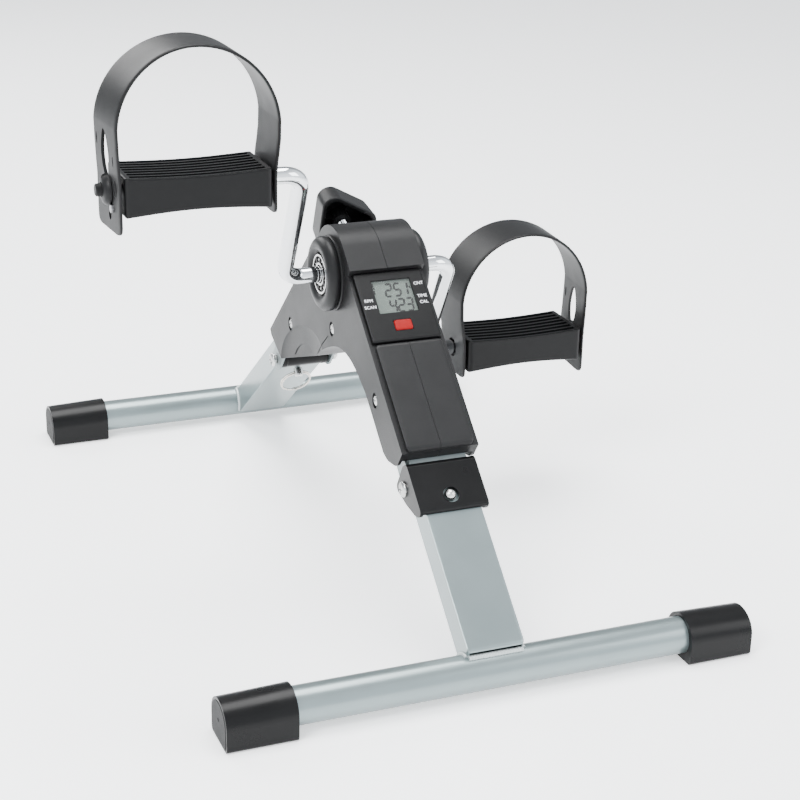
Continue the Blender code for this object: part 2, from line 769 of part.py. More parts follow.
def make_console():
    half, wall = CONSOLE_HALF, CONSOLE_WALL
    case = console_block("console_case", -half, half, CONSOLE_ALONG, CONSOLE_OUT)
    soften(case, 0.0012, 2, 60)
    back = console_block(
        "case_hollow",
        wall - half,
        half - wall,
        (CONSOLE_ALONG[0] + wall, CONSOLE_ALONG[1] - wall),
        (-0.01, CONSOLE_OUT[1] - wall),
    )
    window = console_block("window_hole", -0.0142, 0.0150, (0.2471, 0.2740), (0.005, 0.02))
    along = (RESET_ALONG - 0.0043, RESET_ALONG + 0.0043)
    button = console_block("reset_hole", -0.0067, 0.0067, along, (0.005, 0.02))
    cut(case, back, window, button)
    place(case, "black_plastic")
    pieces = (
        ("console_window", -0.0139, 0.0147, (0.2474, 0.2737), (0.0104, 0.0117), "clear"),
        ("lcd_panel", -0.0160, 0.0168, (0.2455, 0.2756), (0.0082, 0.0098), "lcd"),
        ("circuit_board", -0.0220, 0.0220, (0.2290, 0.2770), (0.0050, 0.0066), "circuit_green"),
    )
    for name, x_low, x_high, along, out, material in pieces:
        piece = console_block(name, x_low, x_high, along, out)
        soften(piece, 0.0004, 1)
        place(piece, material)
    cell_spot = at(FRONT, 0.262, 0)
    frame = pointing((0.011, *cell_spot), leg_axis(FRONT))
    profile = [(0, 0.0046), (0.0053, 0.0046), (0.0058, 0.0042), (0.0058, 0.0016), (0, 0.0016)]
    place(turned("button_cell", profile, frame), "zinc")


def make_reset_button(body):
    along = (RESET_ALONG - 0.004, RESET_ALONG + 0.004)
    button = console_block("reset_button", -0.0064, 0.0064, along, (0.0084, 0.0132))
    soften(button, 0.001)
    wide = (along[0] - 0.001, along[1] + 0.001)
    join(button, console_block("reset_flange", -0.0074, 0.0074, wide, (0.0080, 0.0098)))
    place(button, "red_plastic", body)


# --- axle, crank and brake ---


def make_axle_pieces():
    for hand, word in ((-1, "left"), (1, "right")):
        frame = pointing((0, *AXLE), (hand, 0, 0))
        bush = [(0.0061, 0.0288), (0.011, 0.0288), (0.011, 0.0283), (0.0087, 0.0283)]
        bush += [(0.0087, 0.0200), (0.0061, 0.0200)]
        place(turned(f"axle_bush_{word}", bush, frame, ring=True), "nylon")
        hub = [(0.0066, 0.0400), (0.0152, 0.0400), (0.0160, 0.0392), (0.0160, 0.0378)]
        hub += [(0.0121, 0.0378), (0.0121, 0.0345), (0.0066, 0.0345)]
        place(turned(f"hub_cap_{word}", hub, frame, ring=True, sides=32), "matte_black")
    spot = (AXLE[0] - MAGNET_REACH - 0.0005, AXLE[1])
    outline = upright(spot, 0.0035, -0.003, 0.003)
    sensor = prism("speed_sensor", outline, 0.0135, SPAR_WIDTH / 2 - 0.0013)
    soften(sensor, 0.0005, 1)
    place(sensor, "matte_black")


def pedal_axis(hand):
    """The (y, z) of a pedal's spindle: the left one is up and forward."""
    return (
        AXLE[0] + hand * CRANK_RADIUS * sin(CRANK_TILT),
        AXLE[1] - hand * CRANK_RADIUS * cos(CRANK_TILT),
    )


def bend(before, corner, after, radius, steps=6):
    """The points of a rounded corner between two straight runs."""
    first, last = (before - corner).normalized(), (after - corner).normalized()
    half = first.angle(last) / 2
    middle = corner + (first + last).normalized() * radius / sin(half)
    start, end = corner + first * radius / tan(half), corner + last * radius / tan(half)
    points = []
    for i in range(steps + 1):
        arm = (start - middle).lerp(end - middle, i / steps)
        points.append(middle + arm.normalized() * radius)
    return points


def crank_path():
    """The centre line of the one bent rod, from the left pedal to the right."""
    corners = []
    for hand in (-1, 1):
        pedal = pedal_axis(hand)
        arm = [
            Vector((hand * ROD_END, *pedal)),
            Vector((hand * ARM_X_PEDAL, *pedal)),
            Vector((hand * ARM_X_AXLE, *AXLE)),
        ]
        corners += arm if hand < 0 else arm[::-1]
    points = [corners[0]]
    for before, corner, after in zip(corners, corners[1:], corners[2:]):
        points += bend(before, corner, after, CRANK_BEND_R)
    return points + [corners[-1]]


def make_crank(body):
    place(wire("crank_rod", crank_path(), ROD_R, 4), "chrome", body)
    frame = pointing((0, *AXLE), (1, 0, 0))
    drum = ring_profile(ROD_R + GAP, DRUM_R, -DRUM_HALF, DRUM_HALF)
    place(turned("brake_drum", drum, frame, ring=True, sides=40), "zinc", body)
    spot = (AXLE[0] - MAGNET_REACH, AXLE[1])
    magnet = across("sensor_magnet", spot, DRUM_HALF + GAP, DRUM_HALF + 0.0035, 0.0025, 16)
    place(magnet, "zinc", body)
    for hand, word in ((-1, "left"), (1, "right")):
        outwards = pointing((0, *AXLE), (hand, 0, 0))
        collar = ring_profile(ROD_R + GAP, 0.0098, 0.0292, 0.0325)
        place(turned(f"axle_collar_{word}", collar, outwards, ring=True), "zinc", body)


def rounded_triangle(side, corner_radius, steps=8):
    """An equal-sided outline: its sides lie at one distance from the middle, one corner at +X."""
    reach = 2 * (side - corner_radius)
    outline = []
    for corner in (0, 120, 240):
        turn = radians(corner)
        middle = (reach * cos(turn), reach * sin(turn))
        outline += arc(middle, corner_radius, corner - 60, corner + 60, steps)
    return outline


def make_knob(body):
    """A hollow three-cornered knob, its mouth towards the axle, moulded on the tension screw."""
    frame = pointing((0, *AXLE), (0, cos(BRAKE_TILT), sin(BRAKE_TILT)))
    outline = rounded_triangle(KNOB_SIDE, KNOB_CORNER_R)
    mouth = rounded_triangle(KNOB_SIDE - KNOB_WALL, KNOB_CORNER_R - KNOB_WALL)
    floor = KNOB_FAR - KNOB_TOP_WALL
    knob = prism("tension_knob", outline, KNOB_NEAR, KNOB_FAR, frame)
    soften(knob, 0.002, 2, 60)
    cut(knob, prism("knob_hollow", mouth, KNOB_NEAR - 0.01, floor, frame))
    join(knob, screw_bore("knob_hub", KNOB_NEAR + 0.002, floor + 0.001, 0.0066))
    screw_tip = floor - 0.0013
    cut(knob, screw_bore("knob_bore", KNOB_NEAR - 0.01, screw_tip + GAP, SCREW_R + GAP))
    place(knob, "grey_plastic", body)
    profile = [(0, screw_tip), (SCREW_R, screw_tip), (SCREW_R, 0.0232), (0.0022, 0.0226)]
    profile.append((0, 0.0226))
    place(turned("tension_screw", profile, frame), "chrome", body)


def make_shoe(body):
    corners = [(0.0150, -0.009), (0.0222, -0.009), (0.0222, 0.009), (0.0150, 0.009)]
    shoe = prism("brake_shoe", [brake_point(*corner) for corner in corners], -0.007, 0.007)
    cut(shoe, across("shoe_face", AXLE, -0.03, 0.03, DRUM_R + BRAKE_GAP, 48))
    place(shoe, "rubber", body)


# --- pedals ---


def ribbon(name, centres, edges, thickness):
    """A flat strap along (x, z) points, each with the y of its two edges."""
    work = bmesh.new()
    count = len(centres)
    rings = []
    for i, (x, z) in enumerate(centres):
        before, after = centres[max(i - 1, 0)], centres[min(i + 1, count - 1)]
        run = Vector((after[0] - before[0], 0, after[1] - before[1])).normalized()
        side = Vector((-run.z, 0, run.x)) * thickness / 2
        low, high = (Vector((x, y, z)) for y in edges[i])
        corners = (low - side, high - side, high + side, low + side)
        rings.append([work.verts.new(corner) for corner in corners])
    for first, second in zip(rings, rings[1:]):
        for i in range(4):
            j = (i + 1) % 4
            work.faces.new((first[i], first[j], second[j], second[i]))
    work.faces.new(rings[0][::-1])
    work.faces.new(rings[-1])
    bmesh.ops.recalc_face_normals(work, faces=work.faces)
    mesh = bpy.data.meshes.new(name)
    work.to_mesh(mesh)
    work.free()
    return new_mesh_object(name, mesh)


def strap_path():
    """The strap's centre line, measured from the spindle: (distance from x = 0, height)."""
    loop = arc(STRAP_LOOP, STRAP_LOOP_R, 180, 0, 18)
    rise = [(STRAP_IN, -0.019), (STRAP_IN, -0.008), (STRAP_IN, 0.006), (0.0946, 0.022)]
    fall = [(0.2009, 0.022), (STRAP_OUT, 0.006), (STRAP_OUT, -0.011), (STRAP_OUT, -0.026)]
    return rise + loop + fall


def strap_edges(path):
    """The y of both edges at each point: narrower at the top, tapered at the inner end."""
    crown = STRAP_LOOP[1] + STRAP_LOOP_R
    edges = []
    for x, height in path:
        share = min(max(height / crown, 0), 1)
        half = STRAP_HALF[0] + share * (STRAP_HALF[1] - STRAP_HALF[0])
        taper = min(max(0.006 - height, 0) / 0.025, 1) if x < STRAP_LOOP[0] else 0
        edges.append((-half, half - 0.8 * taper * half))
    return edges


def twist(strap, hand):
    """Turns the outer side a little, so that its front edge lies nearer the pedal."""
    for vertex in strap.data.vertices:
        share = (hand * vertex.co.x - STRAP_LOOP[0]) / STRAP_LOOP_R
        vertex.co.x += hand * STRAP_TWIST * vertex.co.y * min(max(share, 0), 1)


def upright(centre, half, low, high):
    """A rectangle in the side view about a (y, z) centre."""
    y, z = centre
    return [(y - half, z + low), (y + half, z + low), (y + half, z + high), (y - half, z + high)]


def make_pedal(hand, word, body):
    axis = pedal_axis(hand)
    y, z = axis
    profile = [
        (-0.0245, -0.0090),
        (-0.0245, 0.0095),
        (-0.0225, 0.0120),
        (-0.0120, 0.0106),
        (0.0, 0.0100),
        (0.0120, 0.0106),
        (0.0225, 0.0120),
        (0.0245, 0.0095),
        (0.0245, -0.0090),
        (0.0200, -0.0140),
        (-0.0200, -0.0140),
    ]
    outline = [(y + a, z + b) for a, b in profile]
    pedal = prism(f"pedal_{word}", outline, *sided(hand, PEDAL_IN, PEDAL_OUT))
    soften(pedal, 0.0012, 2, 60)
    pocket_ends = sided(hand, PEDAL_IN + PEDAL_WALL, PEDAL_OUT - PEDAL_WALL)
    cut(pedal, prism("pocket", upright(axis, 0.0222, -0.03, 0.0072), *pocket_ends))
    for near in (PEDAL_IN + 0.030, PEDAL_IN + 0.060):
        web = upright(axis, 0.0235, -0.0095, 0.0080)
        join(pedal, prism("web", web, *sided(hand, near, near + 0.002)))
    join(pedal, across("spindle_tube", axis, *sided(hand, PEDAL_IN + 0.001, 0.1846), 0.0090))
    cut(
        pedal,
        across("spindle_bore", axis, *sided(hand, 0.090, 0.1910), ROD_R + 0.0004, 24),
        across("clip_room", axis, *sided(hand, 0.1855, 0.1883), CLIP_R + 0.0004, 24),
        across("peg_hole", axis, *sided(hand, 0.1920, 0.2100), PEG_R + GAP, 16),
    )
    place(pedal, "black_plastic", body)
    make_strap(hand, word, axis, body)
    outwards = pointing((0, *axis), (hand, 0, 0))
    peg = [
        (0, PEG_HEAD[1]),
        (0.0040, PEG_HEAD[1] - 0.0002),
        (PEG_HEAD_R, PEG_HEAD[1] - 0.0010),
        (PEG_HEAD_R, PEG_HEAD[0]),
        (PEG_R, PEG_HEAD[0]),
        (PEG_R, 0.1926),
        (0, 0.1926),
    ]
    place(turned(f"strap_peg_{word}", peg, outwards), "matte_black", body)
    clip = ring_profile(ROD_R + GAP, CLIP_R, 0.1861, 0.1876)
    place(turned(f"spindle_clip_{word}", clip, outwards, ring=True), "zinc", body)


def make_strap(hand, word, axis, body):
    path = strap_path()
    centres = [(hand * x, z) for x, z in path]
    strap = ribbon(f"pedal_strap_{word}", centres, strap_edges(path), STRAP_THICKNESS)
    twist(strap, hand)
    strap.data.transform(Matrix.Translation((0, *axis)))
    cut(
        strap,
        across("spindle_hole", axis, *sided(hand, 0.085, 0.105), 0.0072, 24),
        across("peg_slot", axis, *sided(hand, 0.195, 0.215), PEG_R + GAP, 16),
    )
    place(strap, "rubber", body)


# --- the model ---


def build():
    crank = pivot_empty("crank_pivot", (0, *AXLE))
    make_crank(crank)
    for hand, word in ((-1, "left"), (1, "right")):
        pedal = pivot_empty(f"pedal_{word}_pivot", (hand * 0.1485, *pedal_axis(hand)), crank)
        make_pedal(hand, word, pedal)
        make_housing(hand, word)
    make_housing_screws()
    make_frame()
    make_axle_pieces()
    make_console()
    reset = pivot_empty("reset_pivot", (0, *at(FRONT, RESET_ALONG, CONSOLE_OUT[1])))
    make_reset_button(reset)
    shoe = pivot_empty("brake_pivot", (0, *brake_point(DRUM_R)))
    make_shoe(shoe)
    make_knob(pivot_empty("knob_pivot", (0, *brake_point(KNOB_NEAR)), shoe))
    for leg in (FRONT, REAR):
        body = pivot_empty(f"{leg.name}_leg_pivot", (0, *at(leg, *leg.pivot)))
        make_foot(leg, body)
        tube = make_leg(leg, body)
        make_barrel(leg, body)
        make_hinge_bolt(leg)
        make_cover(leg)
        lock = pivot_empty(f"{leg.name}_lock_pivot", (0, *at(leg, leg.lock, 0)), body)
        if leg is FRONT:
            make_front_lock(tube, lock)
        else:
            eye = at(REAR, REAR.lock, EYE_OUT)
            make_rear_lock(tube, lock, pivot_empty("ring_pivot", (0, *eye), lock))


clear_scene()
PARTS = make_collection("pedal_exerciser")
CUTTERS = make_collection("cutters", hidden=True)
build()
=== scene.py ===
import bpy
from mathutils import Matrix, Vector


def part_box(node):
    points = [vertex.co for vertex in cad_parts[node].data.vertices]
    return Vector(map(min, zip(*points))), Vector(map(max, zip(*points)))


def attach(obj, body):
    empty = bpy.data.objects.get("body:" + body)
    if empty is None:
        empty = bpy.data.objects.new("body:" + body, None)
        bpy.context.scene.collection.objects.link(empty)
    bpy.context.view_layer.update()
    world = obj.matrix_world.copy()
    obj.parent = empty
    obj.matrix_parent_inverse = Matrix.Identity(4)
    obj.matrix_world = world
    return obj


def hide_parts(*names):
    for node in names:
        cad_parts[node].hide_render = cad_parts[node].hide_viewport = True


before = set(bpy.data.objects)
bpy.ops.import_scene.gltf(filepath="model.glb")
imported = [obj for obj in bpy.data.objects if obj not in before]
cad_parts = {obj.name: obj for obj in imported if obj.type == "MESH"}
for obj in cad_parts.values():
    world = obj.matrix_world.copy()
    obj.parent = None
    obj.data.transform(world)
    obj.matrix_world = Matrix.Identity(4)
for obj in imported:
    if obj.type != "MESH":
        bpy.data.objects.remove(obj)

"""The looks of the folding pedal exerciser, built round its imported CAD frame.

Metres, +Z up, the CAD's own axes. Most visible CAD nodes are replaced by finer pieces that
ride on the same body, and the ones that stay get their own procedural material.
"""

from collections import namedtuple
from math import atan2, cos, pi, radians, sin, tan

import bmesh
import bpy
from mathutils import Matrix, Vector, noise

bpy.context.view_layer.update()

# --- sizes shared with the CAD ---

Leg = namedtuple("Leg", "name side start slope pivot toe lock")
FRONT = Leg("front", -1, (-0.2582, 0.0336), radians(40.5), (0.125, -0.013), (0.0, -0.004), 0.110)
REAR = Leg("rear", 1, (0.2492, 0.0276), radians(37.9), (0.138, -0.018), (-0.004, -0.005), 0.119)

LEG_HALF, LEG_DEPTH, LEG_WALL = 0.020, 0.020, 0.0015
AXLE = (-0.016, 0.2155)
CRANK_RADIUS, CRANK_TILT, CRANK_BEND_R = 0.110, radians(34), 0.014
ARM_X_AXLE, ARM_X_PEDAL = 0.064, 0.071
BRAKE_TILT = radians(20)
HOUSING_HALF, WALL = 0.028, 0.0022
CROWN_R = 0.0345
UNDERSIDE, FACE_OUT = -0.0226, 0.009
ARM_END, END_LIP_OUT = 0.1404, 0.0006
SCREW_SPOTS = ((-0.1056, 0.1508), (0.0768, 0.1464), (-0.0172, 0.1733))
WEB_IN, WEB_OUT = 0.0004, 0.0034
COVER_INNER, COVER_OUTER = 0.0224, 0.0249
PEDAL_IN, PEDAL_OUT = 0.099, 0.196

SIDES = ((-1, "left"), (1, "right"))
TO_SIDE = Matrix(((0, 0, 1, 0), (1, 0, 0, 0), (0, 1, 0, 0), (0, 0, 0, 1)))


def at(leg, along, out):
    """The point (y, z) of a leg's own side view: along it from its foot, out from its face."""
    up = (-leg.side * cos(leg.slope), sin(leg.slope))
    away = (leg.side * sin(leg.slope), cos(leg.slope))
    return tuple(leg.start[i] + along * up[i] + out * away[i] for i in (0, 1))


def leg_frame(leg, along, out, x=0.0):
    """A frame on a leg: its X along world X, its Y up the leg, or down it at the rear, its Z out."""
    normal = Vector((0, leg.side * sin(leg.slope), cos(leg.slope)))
    x_axis = Vector((1, 0, 0))
    made = Matrix((x_axis, normal.cross(x_axis), normal)).transposed().to_4x4()
    made.translation = Vector((x, *at(leg, along, out)))
    return made


def brake_point(radius, across=0.0):
    """The point (y, z) at this distance from the axle along the tension screw."""
    along = (cos(BRAKE_TILT), sin(BRAKE_TILT))
    return (
        AXLE[0] + radius * along[0] - across * along[1],
        AXLE[1] + radius * along[1] + across * along[0],
    )


def pedal_axis(hand):
    return (
        AXLE[0] + hand * CRANK_RADIUS * sin(CRANK_TILT),
        AXLE[1] - hand * CRANK_RADIUS * cos(CRANK_TILT),
    )


def pointing(start, direction):
    """A frame at a start point, its Z along a direction and its X near world X."""
    z = Vector(direction).normalized()
    near = Vector((1, 0, 0)) if abs(z.x) < 0.9 else Vector((0, 1, 0))
    y = z.cross(near).normalized()
    made = Matrix((y.cross(z), y, z)).transposed().to_4x4()
    made.translation = Vector(start)
    return made


def outwards(spot, hand):
    """A frame at a point (y, z) of the middle plane, its Z out to a side."""
    return pointing((0, *spot), (hand, 0, 0))


def circled(spot, radius_y, radius_z, count):
    """Points (y, z) round a spot."""
    turns = [2 * pi * i / count for i in range(count)]
    return [(spot[0] + radius_y * cos(t), spot[1] + radius_z * sin(t)) for t in turns]


def sided(hand, near, far):
    return sorted((hand * near, hand * far))


def arc(centre, radius, start, end, steps):
    turns = [radians(start + (end - start) * i / steps) for i in range(steps + 1)]
    return [(centre[0] + radius * cos(t), centre[1] + radius * sin(t)) for t in turns]


def rounded(outline, radius, steps=5):
    """The outline with every corner turned into an arc, or less where its sides are short."""
    made = []
    for i, point in enumerate(outline):
        corner = Vector(point)
        before, after = Vector(outline[i - 1]), Vector(outline[(i + 1) % len(outline)])
        first, last = before - corner, after - corner
        half = first.angle(last) / 2
        if half > radians(86):
            made.append(tuple(corner))
            continue
        reach = min(radius / tan(half), 0.45 * first.length, 0.45 * last.length)
        true_radius = reach * tan(half)
        middle = corner + (first.normalized() + last.normalized()).normalized() * true_radius / sin(half)
        start, end = corner + first.normalized() * reach, corner + last.normalized() * reach
        for step in range(steps + 1):
            ray = (start - middle).lerp(end - middle, step / steps).normalized()
            made.append(tuple(middle + ray * true_radius))
    return made


def inset(outline, distance):
    """The outline moved inwards by a distance along every edge."""
    count = len(outline)
    area = sum(
        outline[i - 1][0] * outline[i][1] - outline[i][0] * outline[i - 1][1]
        for i in range(count)
    )
    hand = 1 if area > 0 else -1
    moved = []
    for i, (y, z) in enumerate(outline):
        before, after = outline[i - 1], outline[(i + 1) % count]
        first = atan2(z - before[1], y - before[0])
        turn = (atan2(after[1] - z, after[0] - y) - first + pi) % (2 * pi) - pi
        middle = first + turn / 2 + hand * pi / 2
        reach = distance / cos(turn / 2)
        moved.append((y + reach * cos(middle), z + reach * sin(middle)))
    return moved


# --- building pieces ---


def add(name, data):
    item = bpy.data.objects.new(name, data)
    bpy.context.scene.collection.objects.link(item)
    return item


def made_from(work, name):
    """An object from a bmesh, which is freed."""
    mesh = bpy.data.meshes.new(name)
    work.to_mesh(mesh)
    work.free()
    return add(name, mesh)


def skinned(name, rings):
    """A solid through rings of points that all have the same number of points."""
    work = bmesh.new()
    rings = [[work.verts.new(point) for point in ring] for ring in rings]
    for first, second in zip(rings, rings[1:]):
        for i in range(len(first)):
            j = (i + 1) % len(first)
            work.faces.new((first[i], first[j], second[j], second[i]))
    work.faces.new(rings[0][::-1])
    work.faces.new(rings[-1])
    bmesh.ops.recalc_face_normals(work, faces=work.faces)
    return made_from(work, name)


def apply(item):
    """Turns an object and its modifiers into one plain mesh at the world's origin."""
    bpy.context.view_layer.update()
    graph = bpy.context.evaluated_depsgraph_get()
    mesh = bpy.data.meshes.new_from_object(item.evaluated_get(graph))
    mesh.transform(item.matrix_world)
    name = item.name
    bpy.data.objects.remove(item)
    work = bmesh.new()
    work.from_mesh(mesh)
    bmesh.ops.remove_doubles(work, verts=work.verts, dist=1e-6)
    bmesh.ops.recalc_face_normals(work, faces=work.faces)
    work.to_mesh(mesh)
    work.free()
    return add(name, mesh)


def prism(name, outline, low, high, place=TO_SIDE):
    """A flat outline with thickness: drawn as (y, z) and thick along X, unless a frame is given."""
    curve = bpy.data.curves.new(name, "CURVE")
    curve.dimensions = "2D"
    curve.fill_mode = "BOTH"
    curve.extrude = (high - low) / 2
    spline = curve.splines.new("POLY")
    spline.points.add(len(outline) - 1)
    for point, spot in zip(spline.points, outline):
        point.co = (*spot, 0, 1)
    spline.use_cyclic_u = True
    item = add(name, curve)
    item.matrix_world = place @ Matrix.Translation((0, 0, (low + high) / 2))
    return apply(item)


def leg_prism(leg, name, corners, low, high):
    return prism(name, [at(leg, *corner) for corner in corners], low, high)


def leg_box(leg, name, along, out, x_low, x_high):
    """A block in a leg's own frame, between two places along it, out from its face and in X."""
    corners = [(along[0], out[0]), (along[1], out[0]), (along[1], out[1]), (along[0], out[1])]
    return leg_prism(leg, name, corners, x_low, x_high)


def turned(name, profile, place, sides=64, ring=False):
    """A profile of (radius, height) turned about a frame's Z."""
    mesh = bpy.data.meshes.new(name)
    links = [(i, i + 1) for i in range(len(profile) - 1)]
    if ring:
        links.append((len(profile) - 1, 0))
    mesh.from_pydata([(radius, 0, height) for radius, height in profile], links, [])
    item = add(name, mesh)
    item.matrix_world = place
    screw = item.modifiers.new("Turn", "SCREW")
    screw.steps = screw.render_steps = sides
    screw.use_merge_vertices = True
    screw.merge_threshold = 1e-6
    return apply(item)


def rod(name, start, end, radius, sides=48, end_radius=None):
    start, end = Vector(start), Vector(end)
    work = bmesh.new()
    bmesh.ops.create_cone(
        work,
        cap_ends=True,
        segments=sides,
        radius1=radius,
        radius2=radius if end_radius is None else end_radius,
        depth=(end - start).length,
        matrix=pointing((start + end) / 2, end - start),
    )
    return made_from(work, name)


def upright(name, place, low, high, radius):
    """A round bar along a frame's Z."""
    return rod(name, place @ Vector((0, 0, low)), place @ Vector((0, 0, high)), radius)


def across(name, centre, low, high, radius, sides=48, end_radius=None):
    return rod(name, (low, *centre), (high, *centre), radius, sides, end_radius)


def wire(name, points, radius, resolution=4, cyclic=False, radii=None):
    """A round bar along a list of points."""
    curve = bpy.data.curves.new(name, "CURVE")
    curve.dimensions = "3D"
    curve.bevel_depth = radius
    curve.bevel_resolution = resolution
    curve.use_fill_caps = not cyclic
    spline = curve.splines.new("POLY")
    spline.points.add(len(points) - 1)
    for i, (point, spot) in enumerate(zip(spline.points, points)):
        point.co = (*spot, 1)
        point.radius = radii[i] if radii else 1
    spline.use_cyclic_u = cyclic
    return apply(add(name, curve))


def boolean(target, others, operation):
    for other in others:
        step = target.modifiers.new(operation.title(), "BOOLEAN")
        step.operation = operation
        step.solver = "EXACT"
        step.object = other
    made = apply(target)
    for other in others:
        bpy.data.objects.remove(other)
    return made


def cut(target, *others):
    return boolean(target, others, "DIFFERENCE")


def join(target, *others):
    return boolean(target, others, "UNION")


def soften(item, width, segments=3, angle=35):
    """Rounds the edges that are sharper than an angle."""
    step = item.modifiers.new("Round", "BEVEL")
    step.width = width
    step.segments = segments
    step.limit_method = "ANGLE"
    step.angle_limit = radians(angle)
    return apply(item)


def done(item, body, material, slot, *nodes, sharp=32):
    """A finished piece: smooth shaded, on its body, in place of its CAD nodes."""
    item.data.materials.clear()
    item.data.materials.append(MATERIALS[material])
    item.data.shade_smooth()
    item.data.set_sharp_from_angle(angle=radians(sharp))
    step = item.modifiers.new("Even shading", "WEIGHTED_NORMAL")
    step.keep_sharp = True
    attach(item, body)
    if nodes:
        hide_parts(*nodes)
    return item


# --- materials ---


def shader_node(tree, kind, **inputs):
    """A node whose inputs are each given a value, or a link from another node's output."""
    made = tree.nodes.new(f"ShaderNode{kind}")
    for name, value in inputs.items():
        feed(tree, made.inputs[name.replace("_", " ")], value)
    return made


def feed(tree, socket, value):
    if isinstance(value, bpy.types.NodeSocket):
        tree.links.new(value, socket)
    else:
        socket.default_value = value


def mixed(tree, factor, a, b, blend="MIX"):
    mix = tree.nodes.new("ShaderNodeMix")
    mix.data_type = "RGBA"
    mix.blend_type = blend
    for name, value in (("Factor", factor), ("A", a), ("B", b)):
        feed(tree, mix.inputs[name], value)
    return mix.outputs["Result"]


def surface(
    name,
    colour,
    roughness,
    metallic=0.0,
    grain=900.0,
    bump=0.12,
    depth=0.0002,
    mottle=0.12,
    rough_spread=0.08,
    dust=0.0,
    **sockets,
):
    """A procedural finish: patchy colour and roughness, a fine grain, and dust on upward faces."""
    made = bpy.data.materials.new(name)
    made.use_nodes = True
    tree = made.node_tree
    shader = tree.nodes["Principled BSDF"]
    shader.inputs["Metallic"].default_value = metallic
    if not metallic:
        shader.inputs["Specular IOR Level"].default_value = PLASTIC_SPECULAR
    for socket, value in sockets.items():
        shader.inputs[socket.replace("_", " ")].default_value = value

    spots = shader_node(tree, "TexCoord").outputs["Object"]
    patch = shader_node(tree, "TexNoise", Vector=spots, Scale=PATCHES, Detail=6)
    fine = shader_node(tree, "TexNoise", Vector=spots, Scale=grain, Detail=3)

    tint = shader_node(tree, "ValToRGB", Fac=patch.outputs["Fac"])
    low, high = tint.color_ramp.elements
    low.position, high.position = 0.3, 0.7
    low.color = (*[c * (1 - mottle) for c in colour], 1)
    high.color = (*[min(1, c * (1 + mottle)) for c in colour], 1)
    shade = tint.outputs["Color"]
    if dust:
        shade = dusted(tree, shade, fine, dust)
    tree.links.new(shade, shader.inputs["Base Color"])

    spread = shader_node(
        tree,
        "MapRange",
        Value=patch.outputs["Fac"],
        To_Min=max(0.02, roughness - rough_spread),
        To_Max=min(1, roughness + rough_spread),
    )
    tree.links.new(spread.outputs["Result"], shader.inputs["Roughness"])
    relief = shader_node(tree, "Bump", Strength=bump, Distance=depth, Height=fine.outputs["Fac"])
    tree.links.new(relief.outputs["Normal"], shader.inputs["Normal"])
    return made


def dusted(tree, shade, fine, amount):
    """A thin veil of dust on the faces that look up."""
    normal = shader_node(tree, "NewGeometry").outputs["Normal"]
    rise = shader_node(tree, "SeparateXYZ", Vector=normal).outputs["Z"]
    upward = shader_node(tree, "MapRange", Value=rise, From_Min=0.3, To_Max=amount)
    part = shader_node(tree, "Math")
    part.operation = "MULTIPLY"
    tree.links.new(upward.outputs["Result"], part.inputs[0])
    tree.links.new(fine.outputs["Fac"], part.inputs[1])
    return mixed(tree, part.outputs["Value"], shade, DUST)


